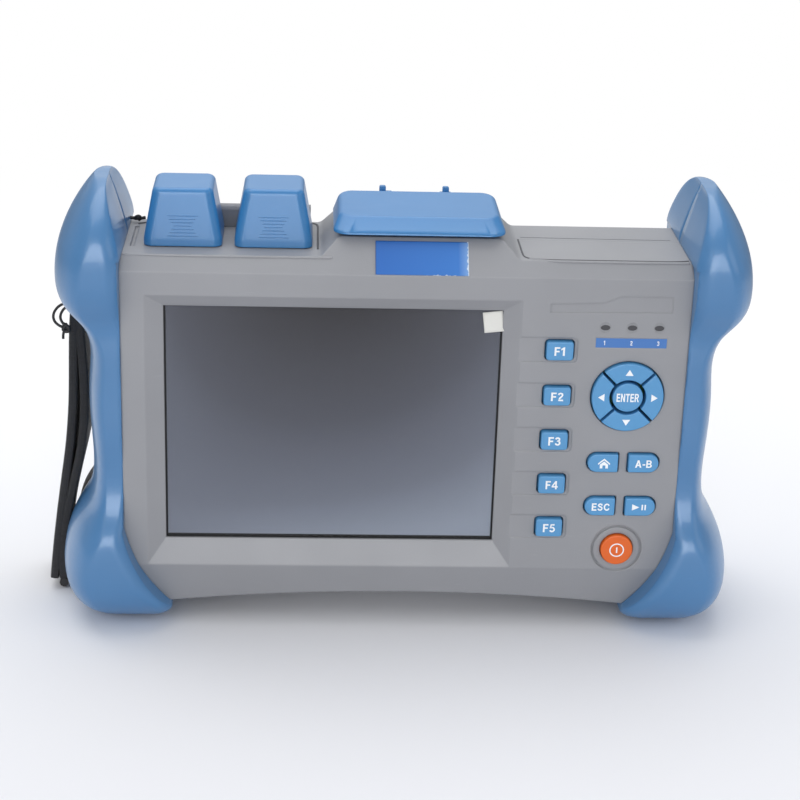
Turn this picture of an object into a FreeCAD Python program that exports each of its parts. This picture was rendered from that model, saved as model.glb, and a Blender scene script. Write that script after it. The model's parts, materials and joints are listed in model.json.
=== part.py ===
"""Handheld optical time domain reflectometer, as separate pieces, in millimetres.

Row frame: +X to the user's right, +Y away from the user, +Z up. The origin lies on the table under
the middle of the bounding box. Most pieces are drawn in the case's own frame, which has its origin
on the front face, over the table and midway between the bumpers.
"""
import FreeCAD, Part
import math
import os
import re
import Sketcher
from FreeCAD import Placement, Rotation, Vector

SIZES = [
    # name, value, what it is
    ("overall_depth", 73.6, "bumpers, front to back"),
    ("bumper_proud", 9.8, "bumper lobes in front of the front face"),
    # case
    ("case_half", 101.8, "half the width between the bumpers"),
    ("case_top", 144.0, "flat top face"),
    ("case_depth", 50.0, "front face to back face"),
    ("seam_depth", 29.5, "front face to the shell seam"),
    ("case_wall", 2.5, "moulded wall"),
    ("screen_wall", 7.0, "front wall round the screen"),
    ("foot_half", 85.5, "half width of the bottom between the bumper feet"),
    ("foot_low", 8.5, "bottom edge beside the bumper feet"),
    ("arch_low", 13.4, "bottom edge in the middle"),
    ("corner_high", 40.0, "where the lower corner curve starts"),
    ("corner_bow", 2.1, "bulge of the lower corner curve"),
    ("face_high", 139.1, "top of the front face, where the 45 degree band starts"),
    ("bend_high", 25.0, "where the front face bends back"),
    ("bend_back", 4.2, "how far it bends back"),
    ("hump_left", 31.0, "left foot of the hump"),
    ("hump_right", 40.0, "right foot of the hump"),
    ("hump_slope", 6.5, "width of each hump shoulder"),
    ("hump_rise", 6.0, "hump above the top face"),
    ("hump_round", 3.5, "shoulder rounding"),
    ("back_round", 2.0, "rounding of the back edges"),
    # screen
    ("screen_middle", -26.0, "middle of the screen opening"),
    ("screen_width", 121.2, "screen opening"),
    ("screen_low", 35.0, "lower edge of the screen opening"),
    ("screen_height", 90.8, "screen opening"),
    ("bezel_side", 6.7, "sloping bezel at each side"),
    ("bezel_above", 4.7, "sloping bezel above"),
    ("bezel_below", 9.6, "sloping bezel below"),
    ("bezel_depth", 3.0, "depth of the sloping bezel"),
    ("lip", 0.9, "lip round the touch window"),
    ("window_lap", 3.0, "window edge behind the lip"),
    ("window_thick", 1.2, "touch window"),
    ("gasket_thick", 0.8, "dust gasket"),
    ("gasket_width", 2.6, "dust gasket rim"),
    ("display_thick", 6.0, "display module"),
    ("display_slack", 0.4, "gap round the display in its seat"),
    ("film_thick", 0.15, "protective film"),
    ("film_inset", 0.6, "film edge inside the opening"),
    ("tab_width", 6.2, "pull tab of the film"),
    ("tab_height", 6.6, "pull tab of the film"),
    # keys
    ("key_gap", 0.3, "gap round a key"),
    ("key_proud", 1.5, "key above the face"),
    ("key_travel", 1.2, "key travel"),
    ("key_flange", 0.9, "retaining flange beyond the hole edge"),
    ("flange_thick", 1.0, "retaining flange"),
    ("flange_rest", 0.3, "flange behind the wall at rest"),
    ("key_crown", 0.5, "rounding of the key's top edge"),
    ("soft_x", 55.2, "function key column"),
    ("soft_z", 112.1, "top function key"),
    ("soft_pitch", 17.45, "function key spacing"),
    ("soft_width", 10.2, "function key"),
    ("key_height", 7.5, "function and menu keys"),
    ("soft_round", 1.2, "function key corners"),
    ("menu_width", 11.6, "menu key"),
    ("menu_left", 73.6, "left menu key column"),
    ("menu_right", 88.6, "right menu key column"),
    ("menu_high", 68.6, "upper menu key row"),
    ("menu_low", 51.1, "lower menu key row"),
    ("menu_round", 3.6, "round end of a menu key"),
    ("pad_x", 80.9, "navigation pad centre"),
    ("pad_z", 94.6, "navigation pad centre"),
    ("pad_radius", 13.3, "navigation pad"),
    ("enter_radius", 6.1, "enter key"),
    ("power_x", 81.1, "power button centre"),
    ("power_z", 33.5, "power button centre"),
    ("power_radius", 6.0, "power button"),
    ("power_ring", 9.1, "groove round the power button"),
    ("groove_width", 0.8, "fine grooves"),
    ("groove_depth", 0.6, "fine grooves and recesses"),
    ("band_height", 9.4, "shallow channel of a function key"),
    ("lamp_x", 80.9, "middle indicator lamp"),
    ("lamp_z", 120.9, "indicator lamps"),
    ("lamp_pitch", 9.7, "indicator lamp spacing"),
    ("lamp_radius", 1.4, "indicator lamp"),
    ("strip_width", 25.6, "strip under the lamps"),
    ("strip_height", 3.6, "strip under the lamps"),
    ("strip_z", 115.1, "strip under the lamps"),
    ("plate_x", 4.9, "middle of the hump's plate"),
    ("plate_width", 33.1, "hump's plate"),
    ("plate_height", 13.4, "hump's plate along the slope"),
    ("plate_thick", 0.4, "hump's plate"),
    # boards and inner modules
    ("board_thick", 1.6, "circuit boards"),
    ("keypad_back", 8.0, "front side of the keypad board"),
    ("switch_side", 5.0, "key switch"),
    ("post_radius", 1.8, "keypad board posts"),
    ("bracket_thick", 1.0, "display bracket"),
    ("stand_off", 3.0, "posts between bracket and main board"),
    ("spool_radius", 29.0, "fibre spool"),
    ("spool_thick", 9.0, "fibre spool"),
    # ports and caps
    ("cap_x", -64.05, "middle between the two dust caps"),
    ("cap_pitch", 32.3, "spacing of the dust caps"),
    ("cap_front", 14.0, "front edge of a cap's base"),
    ("cap_depth", 25.2, "cap base, front to back"),
    ("cap_width", 27.9, "cap base"),
    ("cap_height", 20.9, "cap above the top face"),
    ("cap_skirt", 2.2, "upright band round the cap's foot"),
    ("cap_taper", 3.4, "each side's lean over the height"),
    ("cap_lean", 2.0, "front face's lean over the height"),
    ("cap_round", 3.4, "cap corners"),
    ("cap_crown", 2.2, "rounding of the cap's top edge"),
    ("cap_wall", 1.8, "cap wall"),
    ("cap_rest", 0.3, "cap above the top face at rest"),
    ("lug_width", 10.0, "hinge lug of a cap"),
    ("lug_gap", 0.3, "side gap of a lug"),
    ("pin_radius", 1.0, "hinge pins"),
    ("pin_fit", 0.05, "running gap round a pin"),
    ("cap_hinge_back", 42.5, "cap hinge line behind the front face"),
    ("cap_hinge_rise", 5.4, "cap hinge line above the top face"),
    ("barrel", 2.6, "barrel round a hinge pin"),
    ("block_depth", 5.0, "hinge block, front to back"),
    ("block_end", 29.4, "hinge block ends from the middle between the caps"),
    ("port_back", 27.0, "port centres behind the front face"),
    ("port_flange", 16.0, "square port flange"),
    ("port_flange_thick", 2.0, "square port flange"),
    ("port_radius", 4.0, "threaded port barrel"),
    ("port_rise", 12.0, "port barrel above the top face"),
    ("port_drop", 9.0, "port body below the top face"),
    ("ferrule_radius", 1.25, "ferrule bore"),
    ("ferrule_depth", 14.0, "ferrule bore"),
    ("trench", 1.4, "groove in the top face beside the caps"),
    # port cover
    ("cover_x", 4.25, "middle of the port cover"),
    ("cover_width", 61.5, "port cover"),
    ("cover_front", 8.2, "front lip of the cover"),
    ("cover_back", 45.0, "back edge of the cover"),
    ("cover_rest", 0.3, "cover above the hump at rest"),
    ("cover_height", 6.7, "cover"),
    ("cover_lean", 7.3, "front slope of the cover"),
    ("cover_side", 2.2, "side slope of the cover"),
    ("cover_round", 6.0, "cover corners"),
    ("cover_crown", 2.4, "rounding of the cover's top edge"),
    ("cover_wall", 1.6, "cover wall"),
    ("cover_hinge_back", 48.0, "cover hinge line behind the front face"),
    ("cover_hinge_rise", 3.0, "cover hinge line above the hump"),
    ("ear_spread", 11.0, "cover ear from the cover's middle"),
    ("ear_width", 4.0, "cover ear"),
    # port panel
    ("panel_x", 4.25, "middle of the port panel"),
    ("panel_width", 51.0, "port panel"),
    ("panel_front", 14.5, "front edge of the port panel"),
    ("panel_depth", 28.0, "port panel"),
    ("panel_thick", 2.0, "port panel"),
    ("panel_sink", 0.4, "panel below the hump top"),
    ("panel_ledge", 1.8, "ledge under the panel"),
    ("panel_slack", 0.2, "gap round the panel"),
    # back
    ("stand_half", 76.0, "half width of the fold-out stand"),
    ("stand_leg", 9.0, "stand leg"),
    ("stand_thick", 4.0, "stand"),
    ("stand_low", 38.0, "lower edge of the stand"),
    ("stand_hinge", 112.0, "stand hinge line"),
    ("stand_gap", 0.4, "gap round the stand"),
    ("stand_foot", 10.0, "stand cross bar"),
    ("pan_margin", 4.5, "thick back wall beyond the stand"),
    ("bay_half", 57.0, "half width of the battery bay"),
    ("bay_low", 57.5, "lower side of the battery bay"),
    ("bay_height", 49.0, "battery bay"),
    ("bay_deep", 16.0, "battery bay behind its cover"),
    ("bay_wall", 1.8, "battery bay wall"),
    ("battery_slack", 0.4, "gap round the battery"),
    ("door_lap", 5.0, "battery cover beyond the bay"),
    ("door_thick", 2.2, "battery cover"),
    ("door_gap", 0.3, "gap round the battery cover"),
    ("screw_radius", 1.5, "case screws"),
    ("screw_head", 2.8, "case screw heads"),
    ("screw_sink", 2.2, "case screw heads below the back face"),
    ("boss_radius", 3.4, "case screw bosses"),
    ("door_screw", 1.0, "battery cover screws"),
    # bumpers
    ("grip_high", 167.0, "top of the bumpers"),
    ("waist_reach", 115.3, "bumper waist from the case middle"),
    ("waist_middle", 75.0, "height of the narrowest place of the waist"),
    ("waist_bow", 1.3, "waist widens by this towards the lobes"),
    ("upper_reach", 11.6, "upper lobe beyond the waist"),
    ("lower_reach", 11.4, "lower lobe beyond the waist"),
    ("upper_lobe", 133.0, "height of the upper lobe"),
    ("lower_lobe", 18.0, "height of the lower lobe"),
    ("upper_spread", 22.0, "upper lobe fades out this far below"),
    ("lower_spread", 34.0, "lower lobe fades out this far above"),
    ("upper_nose", 138.0, "height where the upper lobe is deepest"),
    ("lower_shelf", 33.0, "height up to which the lower lobe keeps its depth"),
    ("shelf_fade", 18.0, "height over which the lower lobe's depth fades"),
    ("crown_width", 5.0, "bumper crest"),
    ("crown_reach", 109.8, "middle of the bumper crest"),
    ("waist_proud", 1.4, "bumper waist in front of the front face"),
    ("waist_behind", 1.6, "bumper waist behind the back face"),
    ("lobe_proud", 9.8, "lobes in front of the front face"),
    ("lobe_behind", 13.8, "lobes behind the back face"),
    ("crest_fall", 22.0, "height of the crest's rounding"),
    ("crest_round_front", 30.0, "depth of the crest's rounding, front"),
    ("crest_round_back", 26.0, "depth of the crest's rounding, back"),
    ("foot_round_front", 24.0, "rounding of the foot, front"),
    ("foot_round_back", 14.0, "rounding of the foot, back"),
    ("foot_end", 12.0, "rounding of the foot's inner end"),
    ("grip_side", 13.0, "width of the lobe's curved outer side"),
    ("waist_side", 8.0, "width of the waist's curved outer side"),
    ("grip_round", 6.0, "rounding beside the case at the lobes"),
    ("grip_lip", 2.4, "rounding beside the case at the waist"),
    ("grip_bury", 0.8, "bumper drawn into the case before it is trimmed"),
    # strap
    ("strap_front", 29.0, "front edge of the strap"),
    ("strap_width", 27.0, "strap webbing"),
    ("strap_reach", 134.0, "strap's lowest stretch from the case middle"),
    ("cord_radius", 0.65, "thin cord"),
]
NAMES = {name for name, _, _ in SIZES}

doc = FreeCAD.newDocument("Reflectometer")
sheet = doc.addObject("Spreadsheet::Sheet", "Sizes")
for line, (name, value, note) in enumerate(SIZES, 1):
    sheet.set(f"A{line}", name)
    sheet.set(f"B{line}", str(value))
    sheet.set(f"C{line}", note)
    sheet.setAlias(f"B{line}", name)
doc.recompute()

CASE_X = "(strap_reach - waist_reach - upper_reach) / 2"
CASE_Y = "bumper_proud - overall_depth / 2"
HUMP_TOP = "case_top + hump_rise"
KEY_BACK = "case_wall + flange_rest + flange_thick"
LIP_BACK = "bezel_depth + lip"
WINDOW_BACK = "bezel_depth + lip + window_thick"
DISPLAY_FRONT = "bezel_depth + lip + window_thick + gasket_thick"
BRACKET_BACK = "bezel_depth + lip + window_thick + gasket_thick + display_thick + bracket_thick"
BOARD_FRONT = BRACKET_BACK + " + stand_off"
CAVITY_TOP = "case_top - case_wall"
CASE_SCREWS = [(-95.5, 134), (95.5, 134), (-97, 81), (97, 81), (-72, 20.5), (72, 20.5)]
KEYPAD_POSTS = [(46.8, 124), (46.8, 33), (91, 112), (91, 41)]


def bound(text):
    """The text with each size name pointing at its cell."""
    return re.sub(r"[a-z_]+", lambda m: "Sizes." + m[0] if m[0] in NAMES else m[0], text)


def size(text):
    """The present value of an expression in size names."""
    return float(sheet.evalExpression(bound(text)))


def bind(obj, prop, text):
    obj.setExpression(prop, bound(text))


def place(obj, x=CASE_X, y=CASE_Y, z="0"):
    """Ties an object's place to the sheet."""
    for axis, text in zip("xyz", (x, y, z)):
        bind(obj, f"Placement.Base.{axis}", text)


pieces = []


def keep(obj, label):
    """Marks an object as a finished piece; the label names its file."""
    obj.Label = label
    pieces.append(obj)
    return obj


# ---------------------------------------------------------------- sketches and features

def body(label, x=CASE_X, y=CASE_Y, z="0"):
    new = keep(doc.addObject("PartDesign::Body", "Body_" + label), label)
    place(new, x, y, z)
    return new


def sketch(owner, role, offset="0"):
    """A sketch on one of the body's own origin planes, moved along +X, +Y or +Z by offset."""
    new = owner.newObject("Sketcher::SketchObject", "Sketch")
    plane = [o for o in owner.Origin.OriginFeatures if o.Role == role][0]
    new.AttachmentSupport = (plane, [""])
    new.MapMode = "FlatFace"
    sign = "-" if role == "XZ_Plane" else ""
    bind(new, "AttachmentOffset.Base.z", f"{sign}({offset})")
    return new


def pin_point(sk, geo, end, x, y):
    """Fixes a point of the sketch at two expressions."""
    for kind, text in (("DistanceX", x), ("DistanceY", y)):
        index = sk.addConstraint(Sketcher.Constraint(kind, -1, 1, geo, end, size(text)))
        bind(sk, f"Constraints[{index}]", text)


def polygon(sk, corners):
    """A closed outline from corners (x, y) or (x, y, radius), each an expression.

    An entry ("via", x, y) makes the side between its neighbours an arc through that point.
    """
    vias, sharp = {}, []
    for corner in corners:
        if corner[0] == "via":
            vias[len(sharp) - 1] = corner[1:]
        else:
            sharp.append(corner)
    points = [Vector(size(c[0]), size(c[1]), 0) for c in sharp]
    radii = [size(c[2]) if len(c) > 2 else 0 for c in sharp]
    count = len(points)
    enters, leaves, middles = [], [], []
    for i, (point, radius) in enumerate(zip(points, radii)):
        back = (points[i - 1] - point).normalize()
        ahead = (points[(i + 1) % count] - point).normalize()
        half = back.getAngle(ahead) / 2
        reach = radius / math.tan(half) if radius else 0
        enters.append(point + back * reach)
        leaves.append(point + ahead * reach)
        inward = (back + ahead).normalize() if radius else Vector()
        middles.append(point + inward * (radius / math.sin(half) - radius) if radius else point)
    sides = [curved_side(sk, leaves[i], vias[i], enters[(i + 1) % count]) if i in vias
             else (sk.addGeometry(Part.LineSegment(leaves[i], enters[(i + 1) % count]), False), 1, 2)
             for i in range(count)]
    for i, corner in enumerate(sharp):
        before, _, ends = sides[i - 1]
        after, starts, _ = sides[i]
        if radii[i]:
            arc, first, last = joined_arc(sk, enters[i], middles[i], leaves[i])
            sk.addConstraint(Sketcher.Constraint("Tangent", before, ends, arc, first))
            sk.addConstraint(Sketcher.Constraint("Tangent", after, starts, arc, last))
            index = sk.addConstraint(Sketcher.Constraint("Radius", arc, radii[i]))
            bind(sk, f"Constraints[{index}]", corner[2])
            tip = sk.addGeometry(Part.Point(points[i]), True)
            sk.addConstraint(Sketcher.Constraint("PointOnObject", tip, 1, before))
            sk.addConstraint(Sketcher.Constraint("PointOnObject", tip, 1, after))
            pin_point(sk, tip, 1, corner[0], corner[1])
        else:
            sk.addConstraint(Sketcher.Constraint("Coincident", before, ends, after, starts))
            pin_point(sk, after, starts, corner[0], corner[1])


def joined_arc(sk, start, middle, end):
    """Adds an arc and tells which of its ends lies at the start: (geometry, first end, last end)."""
    circle_through = Part.Arc(start, middle, end).toShape().Curve
    centre, left_turn = circle_through.Center, (middle - start).cross(end - middle).z > 0
    first, last = (start, end) if left_turn else (end, start)
    angles = [math.atan2(p.y - centre.y, p.x - centre.x) for p in (first, last)]
    if angles[1] < angles[0]:
        angles[1] += 2 * math.pi
    flat = Part.Circle(centre, Vector(0, 0, 1), circle_through.Radius)
    arc = sk.addGeometry(Part.ArcOfCircle(flat, *angles), False)
    return (arc, 1, 2) if left_turn else (arc, 2, 1)


def curved_side(sk, start, via, end):
    middle = Vector(size(via[0]), size(via[1]), 0)
    side = joined_arc(sk, start, middle, end)
    point = sk.addGeometry(Part.Point(middle), True)
    sk.addConstraint(Sketcher.Constraint("PointOnObject", point, 1, side[0]))
    pin_point(sk, point, 1, via[0], via[1])
    return side


def circle(sk, x, y, radius):
    geo = sk.addGeometry(Part.Circle(Vector(size(x), size(y), 0), Vector(0, 0, 1), size(radius)), False)
    pin_point(sk, geo, 3, x, y)
    index = sk.addConstraint(Sketcher.Constraint("Radius", geo, size(radius)))
    bind(sk, f"Constraints[{index}]", radius)


def box_corners(x, y, width, height, radius=None):
    """Corners of a rectangle about the middle (x, y)."""
    corners = [(f"{x} {sx} ({width}) / 2", f"{y} {sy} ({height}) / 2")
               for sx, sy in (("-", "-"), ("+", "-"), ("+", "+"), ("-", "+"))]
    return [c + (radius,) for c in corners] if radius else corners


def pad(owner, sk, length, role="XZ_Plane", both=False):
    """Adds material along +X, +Y or +Z from the sketch."""
    new = owner.newObject("PartDesign::Pad", "Pad")
    new.Profile = sk
    bind(new, "Length", length)
    new.Reversed = role == "XZ_Plane"
    new.Midplane = both
    sk.Visibility = False
    return new


def pocket(owner, sk, length=None, forward=True, role="XZ_Plane", both=False):
    """Cuts along +X, +Y or +Z (forward) or the other way; with no length it cuts through everything."""
    new = owner.newObject("PartDesign::Pocket", "Pocket")
    new.Profile = sk
    if length is None:
        new.Type = "ThroughAll"
    else:
        bind(new, "Length", length)
    new.Reversed = forward == (role != "XZ_Plane")
    new.Midplane = both
    return new


def loft(owner, low, high, kind="PartDesign::AdditiveLoft"):
    new = owner.newObject(kind, "Loft")
    new.Profile = low
    new.Sections = [high]
    new.Ruled = True
    return new


def round_edges(owner, base, radius, where):
    """Fillets the edges of the base feature that the test picks."""
    doc.recompute()
    names = [f"Edge{i}" for i, edge in enumerate(base.Shape.Edges, 1) if where(edge)]
    new = owner.newObject("PartDesign::Fillet", "Fillet")
    new.Base = (base, names)
    bind(new, "Radius", radius)
    return new


# ---------------------------------------------------------------- plain solids

def solid(kind, x, y, z, turn=None, **sizes):
    """A Part primitive placed in the case's frame."""
    new = doc.addObject("Part::" + kind, kind)
    for prop, text in sizes.items():
        bind(new, prop, text)
    if turn:
        new.Placement.Rotation = Rotation(*turn)
    place(new, f"{CASE_X} + {x}", f"{CASE_Y} + {y}", z)
    return new


def block(x, y, z, width, depth, height):
    """A box from the middle of its width, its front and its bottom."""
    return solid("Box", f"{x} - ({width}) / 2", y, z, Length=width, Width=depth, Height=height)


def rod_x(x, y, z, radius, length):
    return solid("Cylinder", x, y, z, (Vector(0, 1, 0), 90), Radius=radius, Height=length)


def rod_y(x, y, z, radius, length):
    return solid("Cylinder", x, y, z, (Vector(1, 0, 0), -90), Radius=radius, Height=length)


def rod_z(x, y, z, radius, length):
    return solid("Cylinder", x, y, z, None, Radius=radius, Height=length)


def fuse(parts):
    if len(parts) == 1:
        return parts[0]
    new = doc.addObject("Part::MultiFuse", "Fuse")
    new.Shapes = parts
    return new


def cut(base, tools):
    new = doc.addObject("Part::Cut", "Cut")
    new.Base = base
    new.Tool = fuse(tools)
    return new


def group(parts):
    """Separate solids that share one node."""
    new = doc.addObject("Part::Compound", "Group")
    new.Links = parts
    return new


# ---------------------------------------------------------------- case shells

def case_corners(inset="0", top="case_top", hump=True):
    """Front view of the case, drawn inwards by the inset; the lower corners come separately."""
    left, right = f"-(hump_left) + {inset}", f"hump_right - {inset}"
    outline = [(f"-(case_half - {inset})", f"{top} - {inset}")]
    if hump:
        outline += [("-(hump_left)", "case_top", "hump_round"),
                    ("-(hump_left) + hump_slope", HUMP_TOP, "hump_round"),
                    ("hump_right - hump_slope", HUMP_TOP, "hump_round"),
                    ("hump_right", "case_top", "hump_round")]
    outline += [(f"case_half - {inset}", f"{top} - {inset}"),
                (f"case_half - {inset}", "corner_high"),
                ("via", f"(case_half + foot_half) / 2 + corner_bow - {inset}",
                 f"(corner_high + foot_low) / 2 - corner_bow / 2 + {inset} / 2"),
                (f"foot_half - {inset}", f"foot_low + {inset}"),
                ("via", "0", f"arch_low + {inset}"),
                (f"-(foot_half - {inset})", f"foot_low + {inset}"),
                ("via", f"-((case_half + foot_half) / 2 + corner_bow - {inset})",
                 f"(corner_high + foot_low) / 2 - corner_bow / 2 + {inset} / 2"),
                (f"-(case_half - {inset})", "corner_high")]
    return outline


def case_block(label, start, length):
    """A case half as a full block, with the band along the top front and the bend below."""
    shell = body(label)
    outline = sketch(shell, "XZ_Plane", start)
    polygon(outline, case_corners())
    pad(shell, outline, length)
    return shell


def top_holes(shell):
    """Openings that both halves share: ports, port panel and grooves beside the caps."""
    for side in ("-", "+"):
        hole = sketch(shell, "XY_Plane", "case_top + 1")
        circle(hole, f"cap_x {side} cap_pitch / 2", "port_back", "port_radius + key_gap")
        pocket(shell, hole, "case_wall + 2", forward=False, role="XY_Plane")
    seat = sketch(shell, "XY_Plane", HUMP_TOP)
    polygon(seat, box_corners("panel_x", "panel_front + panel_depth / 2",
                              "panel_width + 2 * panel_slack", "panel_depth + 2 * panel_slack"))
    pocket(shell, seat, "panel_thick + panel_sink", forward=False, role="XY_Plane")
    well = sketch(shell, "XY_Plane", HUMP_TOP)
    polygon(well, box_corners("panel_x", "panel_front + panel_depth / 2",
                              "panel_width - 2 * panel_ledge", "panel_depth - 2 * panel_ledge"))
    pocket(shell, well, "hump_rise + case_wall + 1", forward=False, role="XY_Plane")
    trench = sketch(shell, "XY_Plane", "case_top")
    for side in ("-", "+"):
        polygon(trench, box_corners(f"cap_x {side} (cap_pitch / 2 + cap_width / 2 + 4)", "port_back",
                                    "trench", "cap_depth"))
    pocket(shell, trench, "groove_depth", forward=False, role="XY_Plane")


def bosses(shell, start, length, spots, radius):
    marks = sketch(shell, "XZ_Plane", start)
    for x, z in spots:
        circle(marks, str(x), str(z), radius)
    return pad(shell, marks, length)


def screw_bores(shell, start, spots, radius, length=None, forward=True):
    marks = sketch(shell, "XZ_Plane", start)
    for x, z in spots:
        circle(marks, str(x), str(z), radius)
    pocket(shell, marks, length, forward)


def key_outline(kind, grow="0"):
    """Outline of a key about its own middle, grown all round."""
    if kind == "soft":
        return box_corners("0", "0", f"soft_width + 2 * {grow}", f"key_height + 2 * {grow}",
                           f"soft_round + {grow}")
    corners = box_corners("0", "0", f"menu_width + 2 * {grow}", f"key_height + 2 * {grow}")
    flat, full = f"0.6 + {grow}", f"menu_round + {grow}"
    radii = (full, flat, flat, full) if kind == "menu_left" else (flat, full, full, flat)
    return [c + (r,) for c, r in zip(corners, radii)]


def shifted(corners, x, z):
    return [(f"{x} + {c[0]}", f"{z} + {c[1]}") + tuple(c[2:]) for c in corners]


KEYS = [(f"key_f{n + 1}", "soft", "soft_x", f"soft_z - {n} * soft_pitch") for n in range(5)]
KEYS += [("key_home", "menu_left", "menu_left", "menu_high"),
         ("key_ab", "menu_right", "menu_right", "menu_high"),
         ("key_escape", "menu_left", "menu_left", "menu_low"),
         ("key_run", "menu_right", "menu_right", "menu_low")]


def front_shell():
    shell = case_block("front_shell", "0", "seam_depth")
    band = sketch(shell, "YZ_Plane")
    polygon(band, [("-1", "face_high - 1"), ("hump_rise + 20", "face_high + hump_rise + 20"),
                   ("-1", "face_high + hump_rise + 20")])
    pocket(shell, band, "4 * case_half", role="YZ_Plane", both=True)
    bend = sketch(shell, "YZ_Plane")
    polygon(bend, [("-1", "bend_high"), ("0", "bend_high"), ("bend_back", "foot_low - 1"),
                   ("-1", "foot_low - 1")])
    pocket(shell, bend, "4 * case_half", role="YZ_Plane", both=True)
    cavity = sketch(shell, "XZ_Plane", "seam_depth")
    polygon(cavity, case_corners("case_wall", hump=False))
    pocket(shell, cavity, "seam_depth - screen_wall", forward=False)
    keypad = sketch(shell, "XZ_Plane", "screen_wall")
    polygon(keypad, [("soft_x - 10", "bend_high + 0.8"), ("foot_half + 5", "bend_high + 0.8"),
                     ("case_half - case_wall", "corner_high + 2"),
                     ("case_half - case_wall", "face_high - case_wall"),
                     ("soft_x - 10", "face_high - case_wall")])
    pocket(shell, keypad, "screen_wall - case_wall", forward=False)
    bosses(shell, "case_wall", "keypad_back - case_wall", KEYPAD_POSTS, "post_radius")
    bosses(shell, "case_wall", "seam_depth - case_wall", CASE_SCREWS, "boss_radius")
    screw_bores(shell, "seam_depth", CASE_SCREWS, "screw_radius", "12", forward=False)

    outer = sketch(shell, "XZ_Plane", "0")
    polygon(outer, [("screen_middle - screen_width / 2 - bezel_side", "screen_low - bezel_below"),
                    ("screen_middle + screen_width / 2 + bezel_side", "screen_low - bezel_below"),
                    ("screen_middle + screen_width / 2 + bezel_side",
                     "screen_low + screen_height + bezel_above"),
                    ("screen_middle - screen_width / 2 - bezel_side",
                     "screen_low + screen_height + bezel_above")])
    middle = ("screen_middle", "screen_low + screen_height / 2")
    inner = sketch(shell, "XZ_Plane", "bezel_depth")
    polygon(inner, box_corners(*middle, "screen_width", "screen_height"))
    loft(shell, outer, inner, "PartDesign::SubtractiveLoft")
    opening = sketch(shell, "XZ_Plane", "0")
    polygon(opening, box_corners(*middle, "screen_width", "screen_height"))
    pocket(shell, opening, "screen_wall + 1")
    seat = sketch(shell, "XZ_Plane", "screen_wall")
    polygon(seat, box_corners(*middle, "screen_width + 2 * window_lap", "screen_height + 2 * window_lap"))
    pocket(shell, seat, f"screen_wall - ({LIP_BACK})", forward=False)

    holes = sketch(shell, "XZ_Plane", "0")
    for _, kind, x, z in KEYS:
        polygon(holes, shifted(key_outline(kind, "key_gap"), x, z))
    circle(holes, "pad_x", "pad_z", "pad_radius + key_gap")
    circle(holes, "power_x", "power_z", "power_radius + key_gap")
    for side in (-1, 0, 1):
        circle(holes, f"lamp_x + {side} * lamp_pitch", "lamp_z", "lamp_radius")
    pocket(shell, holes, "case_wall + 1")
    bands = sketch(shell, "XZ_Plane", "0")
    left = "screen_middle + screen_width / 2 + bezel_side - 1"
    right = "soft_x + soft_width / 2 + 1.4"
    for n in range(5):
        middle = f"soft_z - {n} * soft_pitch"
        polygon(bands, [(left, f"{middle} - band_height / 2"), (right, f"{middle} - band_height / 2", "1.6"),
                        (right, f"{middle} + band_height / 2", "1.6"), (left, f"{middle} + band_height / 2")])
    pocket(shell, bands, "groove_depth / 2")
    strip = sketch(shell, "XZ_Plane", "0")
    polygon(strip, box_corners("lamp_x", "strip_z", "strip_width", "strip_height"))
    circle(strip, "power_x", "power_z", "power_ring + groove_width / 2")
    circle(strip, "power_x", "power_z", "power_ring - groove_width / 2")
    pocket(shell, strip, "groove_depth")
    emblem = sketch(shell, "XZ_Plane", "0")
    polygon(emblem, [("lamp_x - 29.8", "lamp_z + 5.4"), ("lamp_x + 14", "lamp_z + 5.8"),
                     ("lamp_x + 14", "lamp_z + 11.6"), ("lamp_x - 4.6", "lamp_z + 11.7"),
                     ("lamp_x - 10.9", "lamp_z + 9.1"), ("lamp_x - 29.8", "lamp_z + 8.6")])
    pocket(shell, emblem, "groove_depth / 2")
    top_holes(shell)


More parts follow.
